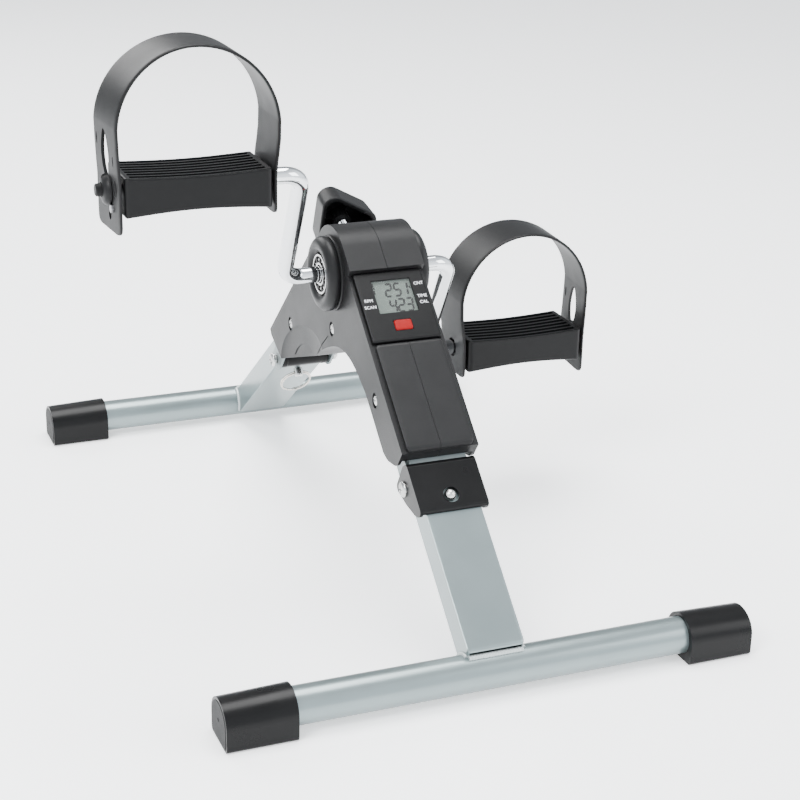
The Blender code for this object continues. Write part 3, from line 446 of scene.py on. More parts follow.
PLASTIC_SPECULAR, PATCHES = 0.15, 35.0
DUST = (0.5, 0.49, 0.47, 1)
PLASTIC_GREY = (0.0095, 0.0095, 0.0099)
BLACK = (0.0030, 0.0030, 0.0032)
MATERIALS = {
    "housing": surface("housing_plastic", PLASTIC_GREY, 0.40, grain=2600, bump=0.20, dust=0.005),
    "console": surface("console_plastic", (0.0035, 0.0035, 0.0037), 0.36, grain=2600, bump=0.12),
    "black": surface("hinge_plastic", BLACK, 0.30, grain=1800, bump=0.12, dust=0.004),
    "cap": surface("cap_plastic", BLACK, 0.30, grain=1500, bump=0.10, dust=0.004),
    "cap_end": surface("cap_end_plastic", (0.010, 0.010, 0.0105), 0.60, bump=0.8, mottle=0.3),
    "pedal": surface("pedal_plastic", BLACK, 0.38, grain=1500, bump=0.2, dust=0.004),
    "strap": surface("strap_rubber", (0.0060, 0.0060, 0.0063), 0.44, grain=1200, bump=0.2, dust=0.004),
    "matte": surface("matte_black", (0.0045, 0.0045, 0.0048), 0.5, grain=1200, bump=0.3),
    "knob": surface("knob_plastic", (0.0065, 0.0065, 0.0068), 0.38, grain=2200, bump=0.2, dust=0.004),
    "paint": surface(
        "silver_paint",
        (0.190, 0.232, 0.236),
        0.30,
        metallic=0.72,
        grain=3800,
        bump=0.08,
        mottle=0.03,
        rough_spread=0.04,
        Coat_Weight=0.2,
        Coat_Roughness=0.12,
    ),
    "frame": surface("frame_steel", (0.18, 0.21, 0.213), 0.40, metallic=0.6, grain=2500, mottle=0.06),
    "weld": surface("weld", (0.42, 0.46, 0.46), 0.32, metallic=0.6, grain=500, bump=0.4, depth=0.0004),
    "chrome": surface(
        "chrome", (0.70, 0.715, 0.73), 0.06, metallic=1.0, bump=0.02, mottle=0.02, rough_spread=0.025
    ),
    "zinc": surface("zinc_plate", (0.50, 0.50, 0.49), 0.24, metallic=1.0, grain=700, bump=0.15),
    "steel": surface("dark_steel", (0.22, 0.22, 0.225), 0.32, metallic=1.0, grain=700, bump=0.2),
    "ring": surface("ring_steel", (0.58, 0.55, 0.51), 0.22, metallic=1.0, bump=0.1),
    "red": surface("red_plastic", (0.20, 0.003, 0.003), 0.36, grain=1800, bump=0.12, mottle=0.05),
    "lcd": surface("lcd_glass", (0.062, 0.080, 0.068), 0.30, grain=4000, bump=0.02, mottle=0.04),
    "ink": surface("lcd_ink", (0.0015, 0.002, 0.0015), 0.6, bump=0.02, Specular_IOR_Level=0.05),
    "print": surface("printed_white", (0.72, 0.73, 0.74), 0.5, grain=3000, bump=0.1, mottle=0.05),
    "window": surface(
        "window_plastic",
        (0.9, 0.92, 0.92),
        0.06,
        bump=0.01,
        mottle=0.01,
        Alpha=0.02,
        Specular_IOR_Level=0.2,
    ),
    "board": surface("circuit_board", (0.02, 0.17, 0.06), 0.4, grain=800, bump=0.4, mottle=0.3),
    "brake": surface("brake_rubber", (0.03, 0.028, 0.026), 0.8, bump=0.6),
    "nylon": surface("nylon", (0.72, 0.70, 0.64), 0.45, bump=0.2, mottle=0.05),
}


# --- camera, floor and light ---


CAMERA_SPOT, CAMERA_LENS, CAMERA_SENSOR = (-0.4524, -1.1943, 0.6130), 82.41, 36
CAMERA_TURN, CAMERA_RISE, CAMERA_ROLL = radians(-22.149), radians(21.541), radians(1.313)
FLOOR_HALF, FLOOR_GLOW = 6, 0.7
FLOOR_COLOUR, FLOOR_ROUGHNESS, FLOOR_SPECULAR = (0.955, 0.96, 0.965, 1), 0.25, 0.35
SKY_STRENGTH, SKY_TINT = 2.6, (0.95, 0.975, 1)
SKY_HEIGHT = ((-1.0, 0.85), (0.0, 0.85), (0.10, 1.0), (0.45, 0.85), (0.8, 0.55), (1.0, 0.5))
SKY_DEPTH = ((-1.0, 1.0), (0.1, 1.0), (0.55, 0.30), (1.0, 0.22))
LAMPS = (
    ("key", (-1.3, -0.9, 1.7), 0.9, 60),
    ("top", (0.1, 0.3, 2.2), 1.4, 90),
    ("fill", (1.5, -1.3, 1.1), 1.2, 24),
    ("back", (-0.6, 1.8, 1.3), 1.2, 34),
)
LAMP_TARGET = (0, 0, 0.15)


def make_camera():
    level_share = cos(CAMERA_RISE)
    back = Vector(
        (sin(CAMERA_TURN) * level_share, -cos(CAMERA_TURN) * level_share, sin(CAMERA_RISE))
    )
    level = Vector((0, 0, 1)).cross(back).normalized()
    right = cos(CAMERA_ROLL) * level + sin(CAMERA_ROLL) * back.cross(level)
    up = back.cross(right)
    camera = add("camera", bpy.data.cameras.new("camera"))
    camera.matrix_world = Matrix((right, up, back)).transposed().to_4x4()
    camera.location = CAMERA_SPOT
    camera.data.lens = CAMERA_LENS
    camera.data.sensor_width = CAMERA_SENSOR
    bpy.context.scene.camera = camera


def make_floor():
    work = bmesh.new()
    bmesh.ops.create_grid(work, x_segments=1, y_segments=1, size=FLOOR_HALF)
    floor = made_from(work, "floor")
    material = bpy.data.materials.new("floor")
    material.use_nodes = True
    shader = material.node_tree.nodes["Principled BSDF"]
    shader.inputs["Base Color"].default_value = FLOOR_COLOUR
    shader.inputs["Roughness"].default_value = FLOOR_ROUGHNESS
    shader.inputs["Specular IOR Level"].default_value = FLOOR_SPECULAR
    shader.inputs["Emission Color"].default_value = (1, 1, 1, 1)
    shader.inputs["Emission Strength"].default_value = FLOOR_GLOW
    floor.data.materials.append(material)


def make_sky():
    """A studio dome: white in front and at the sides, grey overhead and dim behind."""
    world = bpy.context.scene.world or bpy.data.worlds.new("world")
    bpy.context.scene.world = world
    world.use_nodes = True
    tree = world.node_tree
    background = tree.nodes["Background"]
    spots = shader_node(tree, "TexCoord").outputs["Generated"]
    split = shader_node(tree, "SeparateXYZ", Vector=spots)
    ramps = []
    for output, stops in (("Z", SKY_HEIGHT), ("Y", SKY_DEPTH)):
        share = shader_node(tree, "MapRange", From_Min=-1, Value=split.outputs[output])
        ramp = shader_node(tree, "ValToRGB", Fac=share.outputs["Result"])
        points = ramp.color_ramp.elements
        while len(points) < len(stops):
            points.new(0.5)
        for point, (position, value) in zip(points, stops):
            point.position = (position + 1) / 2
            point.color = (*[value * tint for tint in SKY_TINT], 1)
        ramps.append(ramp.outputs["Color"])
    tree.links.new(mixed(tree, 1, *ramps, "MULTIPLY"), background.inputs["Color"])
    background.inputs["Strength"].default_value = SKY_STRENGTH


def make_lamps():
    for name, spot, size, power in LAMPS:
        data = bpy.data.lights.new(name, "AREA")
        data.size = size
        data.energy = power
        lamp = add(name, data)
        lamp.location = spot
        lamp.rotation_mode = "QUATERNION"
        lamp.rotation_quaternion = (Vector(spot) - Vector(LAMP_TARGET)).to_track_quat("Z", "Y")


make_camera()
make_floor()
make_sky()
make_lamps()


# --- feet and legs ---


CAP_EDGE, CAP_FOOT_R, CAP_DROP, CAP_FLAT = 0.0016, 0.003, 0.0016, 0.004
BARREL_PROFILE = (
    (0.0033, 0.0199),
    (0.0070, 0.0199),
    (0.0075, 0.0194),
    (0.0075, 0.0150),
    (0.0072, 0.0147),
)
WELD_HALF, WELD_R, SIDE_WELD_X, SIDE_WELD_R = 0.0192, 0.0021, 0.0202, 0.0014


def foot_circle(leg):
    """The middle (y, z) of a foot tube, and its radius."""
    low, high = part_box(f"{leg.name}_foot_tube")
    return ((low.y + high.y) / 2, (low.z + high.z) / 2), (high.z - low.z) / 2


def make_foot(leg):
    body = f"{leg.name}_leg"
    low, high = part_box(f"{leg.name}_foot_tube")
    centre, radius = foot_circle(leg)
    bore = radius - LEG_WALL
    profile = [(bore, high.x), (radius, high.x), (radius, low.x), (bore, low.x)]
    tube = turned(f"{leg.name}_foot_bar", profile, outwards(centre, 1), 96, ring=True)
    done(tube, body, "paint", "silver_paint", f"{leg.name}_foot_tube")
    for hand, word in SIDES:
        make_cap(leg, hand, word, centre, radius, body)


def make_cap(leg, hand, word, centre, radius, body):
    """A D-shaped cap, a little lower at its outer end, with a rough end face."""
    node = f"{leg.name}_foot_cap_{word}"
    low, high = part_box(node)
    half = (high.y - low.y) / 2
    outer, inner = max(abs(low.x), abs(high.x)), min(abs(low.x), abs(high.x))
    squash = (high.z - centre[1]) / half
    outline = [(y, centre[1] + z * squash) for y, z in arc((0, 0), half, 0, 180, 48)]
    for side, start in ((-1, 180), (1, 270)):
        middle = (side * (half - CAP_FOOT_R), CAP_FOOT_R)
        outline += arc(middle, CAP_FOOT_R, start, start + 90, 6)
    outline = [(centre[0] + y, z) for y, z in outline]
    cap = prism(f"foot_cap_{leg.name}_{word}", outline, *sided(hand, inner, outer - 0.0003))
    cap = soften(cap, CAP_EDGE, 4, 60)
    for vertex in cap.data.vertices:
        share = min(max((abs(vertex.co.x) - inner) / (outer - inner), 0), 1)
        height = max(vertex.co.z - CAP_FLAT, 0) / (high.z - CAP_FLAT)
        vertex.co.z -= CAP_DROP * share * height
    bore = across("bore", centre, *sided(hand, inner - 0.01, outer - 0.0035), radius + 0.0003, 64)
    done(cut(cap, bore), body, "cap", "cap_plastic", node)
    small = [(y, z * 0.95) for y, z in inset(outline, 0.0020)]
    face = prism(f"cap_face_{leg.name}_{word}", small, *sided(hand, outer - 0.0007, outer))
    hole = across("hole", centre, *sided(hand, outer - 0.01, outer + 0.01), 0.0012, 24)
    face = soften(cut(face, hole), 0.0002, 2, 60)
    done(face, body, "cap_end", "cap_plastic")


def make_leg(leg, bore_holes):
    body = f"{leg.name}_leg"
    half, top = LEG_HALF, leg.pivot[0]
    corners = [(leg.toe[0], 0), (top, 0), (top, -LEG_DEPTH), (leg.toe[1], -LEG_DEPTH)]
    tube = soften(leg_prism(leg, f"{leg.name}_leg_box", corners, -half, half), 0.0026, 5, 60)
    inside = (-LEG_DEPTH + LEG_WALL, -LEG_WALL)
    bore = leg_box(leg, "bore", (-0.05, top + 0.05), inside, LEG_WALL - half, half - LEG_WALL)
    foot, radius = foot_circle(leg)
    cope = across("cope", foot, -0.05, 0.05, radius + 0.0001, 96)
    barrel = across("barrel", at(leg, *leg.pivot), -0.05, 0.05, 0.0078, 64)
    tube = cut(tube, bore, cope, barrel, *bore_holes)
    done(tube, body, "paint", "silver_paint", f"{leg.name}_leg_tube")
    make_welds(leg, foot, radius)
    profile = [*BARREL_PROFILE, *[(far, -height) for far, height in BARREL_PROFILE[::-1]]]
    barrel = turned(f"{leg.name}_barrel", profile, outwards(at(leg, *leg.pivot), 1), 64, ring=True)
    done(barrel, body, "black", "matte_black", f"{leg.name}_hinge_barrel")


def make_welds(leg, foot, radius):
    """The rippled beads where the leg meets its foot bar: one across the front, one down each side."""
    start = at(leg, leg.toe[0], -0.0012)
    face = Vector((start[0] - foot[0], start[1] - foot[1]))
    spot = Vector(foot) + face.normalized() * (radius + 0.0002)
    count = 90
    line = [Vector((WELD_HALF * (2 * i / count - 1), *spot)) for i in range(count + 1)]
    weld_bead(leg, "front", line, WELD_R, 5, (0.07, 1.3, 260))
    under = at(leg, leg.toe[1], -LEG_DEPTH + 0.001)
    first = atan2(face.y, face.x)
    last = atan2(under[1] - foot[1], under[0] - foot[0])
    turn = (last - first + pi) % (2 * pi) - pi
    reach, count = radius + 0.0004, 36
    for hand, word in SIDES:
        line = []
        for i in range(count + 1):
            angle = first + turn * (0.05 + 0.9 * i / count)
            y, z = foot[0] + reach * cos(angle), foot[1] + reach * sin(angle)
            line.append(Vector((hand * SIDE_WELD_X, y, z)))
        weld_bead(leg, word, line, SIDE_WELD_R, 4, (0.18, 2.1, 300))


def weld_bead(leg, word, line, radius, resolution, ripple):
    depth, pace, grain = ripple
    swell = [
        1 + depth * sin(i * pace) + 0.10 * noise.noise(point * grain)
        for i, point in enumerate(line)
    ]
    bead = wire(f"{leg.name}_weld_{word}", line, radius, resolution, radii=swell)
    done(bead, f"{leg.name}_leg", "weld", "silver_paint", sharp=60)


# --- hinge covers, bolts and locks ---

COVER_OUTLINES = {
    "front": (
        *((0.0985, -0.003), (0.0985, WEB_OUT), (0.1358, WEB_OUT), (0.1375, -0.004)),
        *((0.1335, -0.0235), (0.1300, -0.0250), (0.1150, -0.0170), (0.1030, -0.0085)),
    ),
    "rear": (
        *((0.1030, -0.002), (0.1030, WEB_OUT), (0.1548, WEB_OUT), (0.1552, -0.0006)),
        *((0.1640, -0.0008), (0.1670, -0.0220), (0.1440, -0.0270), (0.1225, -0.0255)),
        (0.1110, -0.0135),
    ),
}
COVER_ROUNDING = {"front": (0.0040, 0.0028), "rear": (0.0030, 0.0014)}
BOLT_HEAD_R, SHANK_R, NUT_HALF, DOME_R = 0.0056, 0.003, 0.0026, 0.0050
SPRING_R, SPRING_WIRE_R = 0.0034, 0.0004


def make_cover(leg, hole_radius):
    """The U-shaped cover: a web with big soft edges over two cheeks, and a hole for the lock."""
    corner_radius, edge = COVER_ROUNDING[leg.name]
    corners = rounded(COVER_OUTLINES[leg.name], corner_radius, 5)
    cover = leg_prism(leg, f"{leg.name}_cover", corners, -COVER_OUTER, COVER_OUTER)
    cover = soften(cover, edge, 5, 60)
    slot = leg_box(leg, "slot", (0.05, 0.25), (-0.06, WEB_IN), -COVER_INNER, COVER_INNER)
    bolt = across("bolt", at(leg, *leg.pivot), -0.05, 0.05, 0.0034)
    start = (0, *at(leg, leg.lock - 0.0007, WEB_IN - 0.004))
    end = (0, *at(leg, leg.lock - 0.0007, WEB_OUT + 0.004))
    cover = cut(cover, slot, bolt, rod("lock_hole", start, end, hole_radius, 64))
    done(cover, "body", "black", "black_plastic", f"{leg.name}_hinge_cover", sharp=40)


def cross_recess(frame_out, height, size):
    """Two thin blades that cut a cross into a screw head."""
    blades = []
    thin = size * 0.17
    for turn in (0.35, 0.35 + pi / 2):
        spin = frame_out @ Matrix.Rotation(turn, 4, "Z")
        outline = [(-size, -thin), (size, -thin), (size, thin), (-size, thin)]
        blades.append(prism("blade", outline, height - 0.0011, height + 0.004, spin))
    return blades


def dome(radius, base, rise, degrees):
    """A profile over a round top, from its middle outwards."""
    turns = [radians(t) for t in degrees]
    return [(radius * sin(t), base + rise * cos(t)) for t in turns]


def make_hinge_bolt(leg):
    centre = at(leg, *leg.pivot)
    leftwards = outwards(centre, -1)
    head = COVER_OUTER + 0.0002
    top, end = head + 0.0026, -head - 0.0035
    profile = [(0, top)] + dome(BOLT_HEAD_R, head + 0.0006, 0.0020, range(15, 91, 15))
    profile += [(BOLT_HEAD_R, head), (SHANK_R, head), (SHANK_R, end), (0, end)]
    bolt = turned(f"{leg.name}_bolt", profile, leftwards)
    bolt = cut(bolt, *cross_recess(leftwards, top, 0.0032))
    done(bolt, "body", "zinc", "zinc", f"{leg.name}_hinge_bolt")
    low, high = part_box(f"{leg.name}_hinge_nut")
    rightwards = pointing((low.x, *centre), (1, 0, 0))
    hexagon = circled((0, 0), BOLT_HEAD_R, BOLT_HEAD_R, 6)
    nut = soften(prism(f"{leg.name}_nut", hexagon, 0, NUT_HALF, rightwards), 0.0004, 3, 40)
    profile = [(0, high.x - low.x)] + dome(DOME_R, 0.0024, 0.0020, (30, 60, 90))
    profile += [(DOME_R, 0.0010), (0, 0.0010)]
    nut = join(nut, turned("nut_dome", profile, rightwards))
    done(nut, "body", "zinc", "zinc", f"{leg.name}_hinge_nut")


def coil(name, place, radius, low, high, turns, wire_radius):
    steps = 20
    count = int(turns * steps)
    points = []
    for i in range(count + 1):
        turn = 2 * pi * i / steps
        height = low + (high - low) * i / count
        points.append(place @ Vector((radius * cos(turn), radius * sin(turn), height)))
    return wire(name, points, wire_radius, 3)


def ball(radius, base, steps=10):
    quarter = pi / 2 / steps
    points = [(radius * sin(i * quarter), base + radius * cos(i * quarter)) for i in range(steps + 1)]
    return [(0, points[0][1])] + points[1:]


def make_front_lock():
    place = leg_frame(FRONT, FRONT.lock, 0)
    profile = ball(0.004, 0.0014)
    profile += [(0.004, -0.0018), (0.0056, -0.0018), (0.0056, -0.0033), (0, -0.0033)]
    done(turned("lock_dome", profile, place), "front_lock", "zinc", "chrome", "front_lock_button")
    spring = coil("lock_dome_spring", place, SPRING_R, -0.0175, -0.0041, 5, SPRING_WIRE_R)
    done(spring, "front_lock", "zinc", "spring_steel", "front_lock_spring")
    return upright("dome_hole", place, -0.004, 0.004, 0.0043)


def make_rear_lock():
    place = leg_frame(REAR, REAR.lock, 0)
    back = -LEG_DEPTH - 0.0018
    profile = ball(0.0034, 0.0006)
    profile += [(0.0034, -0.0018), (0.0052, -0.0018), (0.0052, -0.0036), (0.0022, -0.0036)]
    profile += [(0.0022, back), (0.0032, back), (0.0036, back - 0.0004)]
    profile += [(0.0036, back - 0.0060), (0.0030, back - 0.0070), (0.0022, back - 0.0072)]
    profile.append((0, back - 0.0072))
    pin = turned("pull_pin", profile, place)
    eye = at(REAR, REAR.lock, -0.0255)
    pin = cut(pin, across("eye", eye, -0.01, 0.01, 0.0017, 24))
    done(pin, "rear_lock", "zinc", "zinc", "rear_lock_pin")
    spring = coil("pull_pin_spring", place, SPRING_R, -0.0175, -0.0044, 5, SPRING_WIRE_R)
    done(spring, "rear_lock", "zinc", "spring_steel", "rear_lock_spring")
    make_pull_ring(Vector((0, *eye)))
    nose = upright("nose", place, -0.004, 0.004, 0.0037)
    return nose, upright("tail", place, -0.03, -0.012, 0.0025)


def make_pull_ring(eye):
    """A split ring: two turns of wire side by side, their ends stepped over each other."""
    radius, wire_radius = 0.0122, 0.0008
    heading = -REAR.slope - radians(18)
    down = Vector((0, cos(heading), sin(heading)))
    flat = down.cross(Vector((1, 0, 0)))
    centre = eye + radius * down
    steps, points = 64, []
    for i in range(int(steps * 1.9)):
        turn = 2 * pi * i / steps
        shift = (i / (steps * 1.9) - 0.5) * 0.0020
        ray = cos(turn) * down + sin(turn) * Vector((1, 0, 0))
        points.append(centre + (radius + 0.0003 * sin(turn / 2)) * ray + shift * flat)
    done(wire("split_ring", points, wire_radius, 3), "lock_ring", "ring", "ring_steel", "pull_ring")


# --- housing ---


BOWL_SPOT, BOWL_SIZE, BOWL_DEPTH = (0.050, 0.1255), (0.058, 0.029), 0.0042
BOWL_SHIFT, BOWL_LEAN, BOWL_WALL = 0.0016, radians(-24), 0.0022
SEAM_HALF, HUB_R = 0.00015, 0.0125
SCREW_HEAD_R, SCREW_TOP, SCREW_SEAT, SCREW_END = 0.0036, 0.0281, 0.0267, -0.0255
HUB_SLOTS = 9


def housing_outline(open_ends=False):
    top = arc(AXLE, CROWN_R, 46.2, 130.5, 40)
    top += [at(FRONT, 0.2815, 0.0155), at(FRONT, 0.2815, FACE_OUT)]
    rear_end = [(0.0991, 0.1099), (0.1244, 0.1209), (0.1277, 0.1253)]
    if open_ends:
        lip = END_LIP_OUT + WALL
        arm_end = [at(FRONT, ARM_END, FACE_OUT), at(FRONT, ARM_END, lip)]
        arm_end += [at(FRONT, 0.115, lip), at(FRONT, 0.115, UNDERSIDE)]
        rear_end = [(0.1272, 0.0993), (0.1458, 0.1079)]
    under = [at(FRONT, 0.205, UNDERSIDE), (-0.0702, 0.1592), (-0.0550, 0.1644)]
    under += [(-0.0405, 0.1658), (-0.0250, 0.1635), (0.0, 0.1525), (0.0206, 0.1394)]
    if open_ends:
        return top + arm_end + under + rear_end
    arm_end = [(ARM_END, FACE_OUT), (0.1388, -0.0066), (0.1500, -0.0188)]
    arm_end += [(0.158, UNDERSIDE), (0.205, UNDERSIDE)]
    lower = rounded([at(FRONT, *corner) for corner in arm_end], 0.010, 6)
    return top + [at(FRONT, ARM_END, FACE_OUT)] + lower[7:-7] + smoothed(under, 2) + rear_end


def smoothed(points, times):
    """An open line with its corners cut, keeping both ends."""
    for _ in range(times):
        made = [points[0]]
        for a, b in zip(points, points[1:]):
            made.append((a[0] * 0.75 + b[0] * 0.25, a[1] * 0.75 + b[1] * 0.25))
            made.append((a[0] * 0.25 + b[0] * 0.75, a[1] * 0.25 + b[1] * 0.75))
        points = made + [points[-1]]
    return points


def bowl(hand, depth, grow=0.0):
    """A flattened ball that scoops the side's lower edge into an arch."""
    along = Vector((0, cos(BOWL_LEAN), sin(BOWL_LEAN)))
    across_it = Vector((hand, 0, 0)).cross(along) * hand
    axes = Matrix((along, across_it, Vector((1, 0, 0)))).transposed().to_4x4()
    sizes = Matrix.Diagonal((*[size + grow for size in (*BOWL_SIZE, depth)], 1))
    centre = Matrix.Translation((hand * (HOUSING_HALF + BOWL_SHIFT), *BOWL_SPOT))
    work = bmesh.new()
    bmesh.ops.create_uvsphere(
        work, u_segments=64, v_segments=32, radius=1, matrix=centre @ axes @ sizes
    )
    bmesh.ops.recalc_face_normals(work, faces=work.faces)
    return made_from(work, "bowl")


def boss_profile():
    """A tyre-like boss: a collar on the housing, a groove, then a round bulge about the hub."""
    collar = [(0.0256, 0.0300), (0.0268, 0.0298), (0.0273, 0.0292), (0.0273, 0.0268)]
    turns = [radians(162 - 190 * i / 18) for i in range(19)]
    bulge = [(0.0209 + 0.0062 * cos(t), 0.0333 + 0.0054 * sin(t)) for t in turns]
    return [(0.0124, 0.0345), (0.0150, 0.0345), *bulge, *collar, (0.0124, 0.0268)]


def make_housing(hand, word):
    outline = housing_outline()
    shell = prism(f"shell_{word}", outline, *sided(hand, SEAM_HALF, HOUSING_HALF))
    shell = soften(shell, 0.0024, 5, 75)
    raised = (FACE_OUT - 0.006, 0.0123)
    panel = leg_box(FRONT, "panel", (ARM_END + 0.0004, 0.2244), raised, *sided(hand, -0.02, 0.0243))
    panel = soften(panel, 0.0034, 6, 60)
    beyond_seam = sided(hand, -0.03, SEAM_HALF)
    panel = cut(panel, leg_box(FRONT, "half", (0.10, 0.30), (-0.05, 0.05), *beyond_seam))
    boss = turned("boss", boss_profile(), outwards(AXLE, hand), 96, ring=True)
    shell = join(shell, panel, boss)
    inner = HOUSING_HALF - WALL
    hollow = prism("hollow", inset(housing_outline(True), WALL), *sided(hand, -0.005, inner))
    opening = sided(hand, -0.01, inner - 0.0002)
    shell = cut(
        shell,
        leg_box(FRONT, "opening", (0.2247, 0.2813), (0.0, 0.03), *opening),
        hollow,
        across("hub", AXLE, *sided(hand, 0.005, 0.060), HUB_R, 64),
        rod("screw_slot", (0, *brake_point(0.028)), (0, *brake_point(0.045)), 0.0042),
    )
    backing = bowl(hand, BOWL_DEPTH, BOWL_WALL)
    shell = join(shell, cut(backing, *outside_of_wall(hand, outline, inner)))
    shell = cut(shell, bowl(hand, BOWL_DEPTH), crease(hand))
    for index, spot in enumerate(SCREW_SPOTS):
        near = 0.0005 if index == 2 else 0.0209
        shell = join(shell, across("pillar", spot, *sided(hand, near, inner + 0.001), 0.0045, 32))
    shell = cut(shell, *screw_recesses(hand))
    done(shell, "body", "housing", "grey_plastic", f"housing_{word}", sharp=28)


def crease(hand):
    """A fine line scored down the side from the arch to the lower edge."""
    line = [(-0.0095, 0.1660), (0.0224, 0.1386), (0.0219, 0.1380), (-0.0100, 0.1654)]
    return prism("crease", line, *sided(hand, HOUSING_HALF - 0.0030, HOUSING_HALF + 0.001))


def outside_of_wall(hand, outline, inner):
    """Keeps a backing within the housing's own side outline, inboard of its wall."""
    tall = [(-0.3, 0), (0.3, 0), (0.3, 0.4), (-0.3, 0.4)]
    beyond = prism("beyond", tall, *sided(hand, inner - 0.0005, 0.06))
    ring = prism("around", tall, *sided(hand, 0.0, 0.06))
    return beyond, cut(ring, prism("within", outline, *sided(hand, -0.001, 0.07)))


def screw_recesses(hand):
    """Oval recesses with a clearance hole on the left, and blind pilots on the right."""
    cutters = []
    for spot in SCREW_SPOTS:
        if hand < 0:
            cutters.append(across("shank", spot, -0.05, 0.0, 0.0021, 24))
            cutters.append(prism("oval", circled(spot, 0.0044, 0.0056, 32), -0.05, -0.0268))
        else:
            cutters.append(across("pilot", spot, -0.001, 0.0262, 0.0021, 24))
    return cutters


def make_housing_screws():
    for number, spot in enumerate(SCREW_SPOTS, 1):
        leftwards = outwards(spot, -1)
        profile = [(0, SCREW_TOP)]
        profile += dome(SCREW_HEAD_R, SCREW_TOP - 0.0010, 0.0010, range(15, 91, 15))
        profile += [(SCREW_HEAD_R, SCREW_SEAT), (0.0018, SCREW_SEAT), (0.0018, -0.0250)]
        profile += [(0.0006, SCREW_END), (0, SCREW_END)]
        screw = turned(f"long_screw_{number}", profile, leftwards, 48)
        screw = cut(screw, *cross_recess(leftwards, SCREW_TOP, 0.0022))
        done(screw, "body", "zinc", "zinc", f"housing_screw_{number}")


def make_hub_caps():
    """A black cage with nine openings between two bright rings, sunk in the boss."""
    cage = [(0.0066, 0.0352), (0.0066, 0.0364), (0.0072, 0.0368), (0.0142, 0.0368)]
    cage += [(0.0146, 0.0364), (0.0146, 0.0352), (0.0121, 0.0352), (0.0121, 0.0345)]
    cage.append((0.0072, 0.0345))
    corners = [(0.0088, -0.0020), (0.0124, -0.0027), (0.0124, 0.0027), (0.0088, 0.0020)]
    wedge = rounded(corners, 0.0009, 3)
    for hand, word in SIDES:
        frame_out = outwards(AXLE, hand)
        hub = turned(f"hub_ring_{word}", cage, frame_out, 96, ring=True)
        slots, balls = [], []
        for i in range(HUB_SLOTS):
            spin = frame_out @ Matrix.Rotation(2 * pi * (i + 0.3) / HUB_SLOTS, 4, "Z")
            slots.append(prism("slot", wedge, 0.0356, 0.0450, spin))
            profile = ball(0.0014, 0.0352) + [(0, 0.0352)]
            balls.append(turned("ball", profile, spin @ Matrix.Translation((0.0106, 0, 0)), 24))
        hub = cut(hub, *slots)
        done(soften(hub, 0.0002, 2, 50), "body", "matte", "matte_black", f"hub_cap_{word}")
        for low, high in ((0.0068, 0.0082), (0.0130, 0.0143)):
            race = [(low, 0.0366), (low, 0.0371), (high, 0.0371), (high, 0.0366)]
            balls.append(turned("race", race, frame_out, 96, ring=True))
        done(merge(f"hub_balls_{word}", balls), "body", "zinc", "zinc")


# --- console ---


WINDOW_X, WINDOW_ALONG = (-0.0142, 0.0150), (0.2471, 0.2740)
PANE_ALONG, PANE_GAP = (0.2473, 0.2738), 0.0002
CASE_HALF, CASE_WALL = 0.0254, 0.002
SEGMENTS = {"1": "bc", "2": "abged", "3": "abgcd", "4": "fgbc", "5": "afgcd"}
DIGIT_ROWS = (
    (0.2614, "251", (-0.0050, 0.0017, 0.0070)),
    (0.2487, "423", (-0.0046, 0.0014, 0.0076)),
)
DIGIT_SIZE, DIGIT_THICK, DIGIT_SLANT = (0.0044, 0.0100), 0.0015, 0.12
MARKS = ((-0.0132, 0.2700, 0.2728), (-0.0128, 0.2680, 0.2696), (-0.0132, 0.2642, 0.2672))
MARK_WIDTH, ARROW = 0.0010, ((0.0146, 0.2686), (0.0126, 0.2676), (0.0146, 0.2666))
LABELS = (
    ("RPM", -0.0198, 0.2570),
    ("SCAN", -0.0198, 0.2517),
    ("CNT", 0.0203, 0.2676),
    ("TIME", 0.0203, 0.2572),
    ("CAL", 0.0203, 0.2522),
)
LABEL_SIZE, LABEL_OUT, LABEL_THICK = 0.0034, 0.01223, 0.00004


def console_box(name, x, along, out):
    return leg_box(FRONT, name, along, out, *x)


def make_console():
    half, inner = CASE_HALF, CASE_HALF - CASE_WALL
    case = console_box("display_case", (-half, half), (0.225, 0.281), (0.0009, 0.0122))
    case = soften(case, 0.0014, 4, 60)
    back = console_box("back", (-inner, inner), (0.227, 0.279), (-0.01, 0.0102))
    window = console_box("window", WINDOW_X, WINDOW_ALONG, (0.005, 0.02))
    hole = console_box("hole", (-0.0067, 0.0067), (0.2325, 0.2411), (0.005, 0.02))
    case = cut(case, back, window, soften(hole, 0.0010, 3, 60))
    done(case, "body", "console", "black_plastic", "console_case")
    button = console_box("red_button", (-0.0064, 0.0064), (0.2328, 0.2408), (0.0084, 0.0132))
    button = soften(button, 0.0012, 4, 60)
    flange = console_box("flange", (-0.0074, 0.0074), (0.2318, 0.2418), (0.0080, 0.0098))
    done(join(button, flange), "reset", "red", "red_plastic", "reset_button")
    pane_x = (WINDOW_X[0] + PANE_GAP, WINDOW_X[1] - PANE_GAP)
    pane = soften(console_box("display_window", pane_x, PANE_ALONG, (0.0106, 0.0117)), 0.0002, 2, 60)
    done(pane, "body", "window", "clear_plastic", "console_window")
    make_digits()
    make_labels()


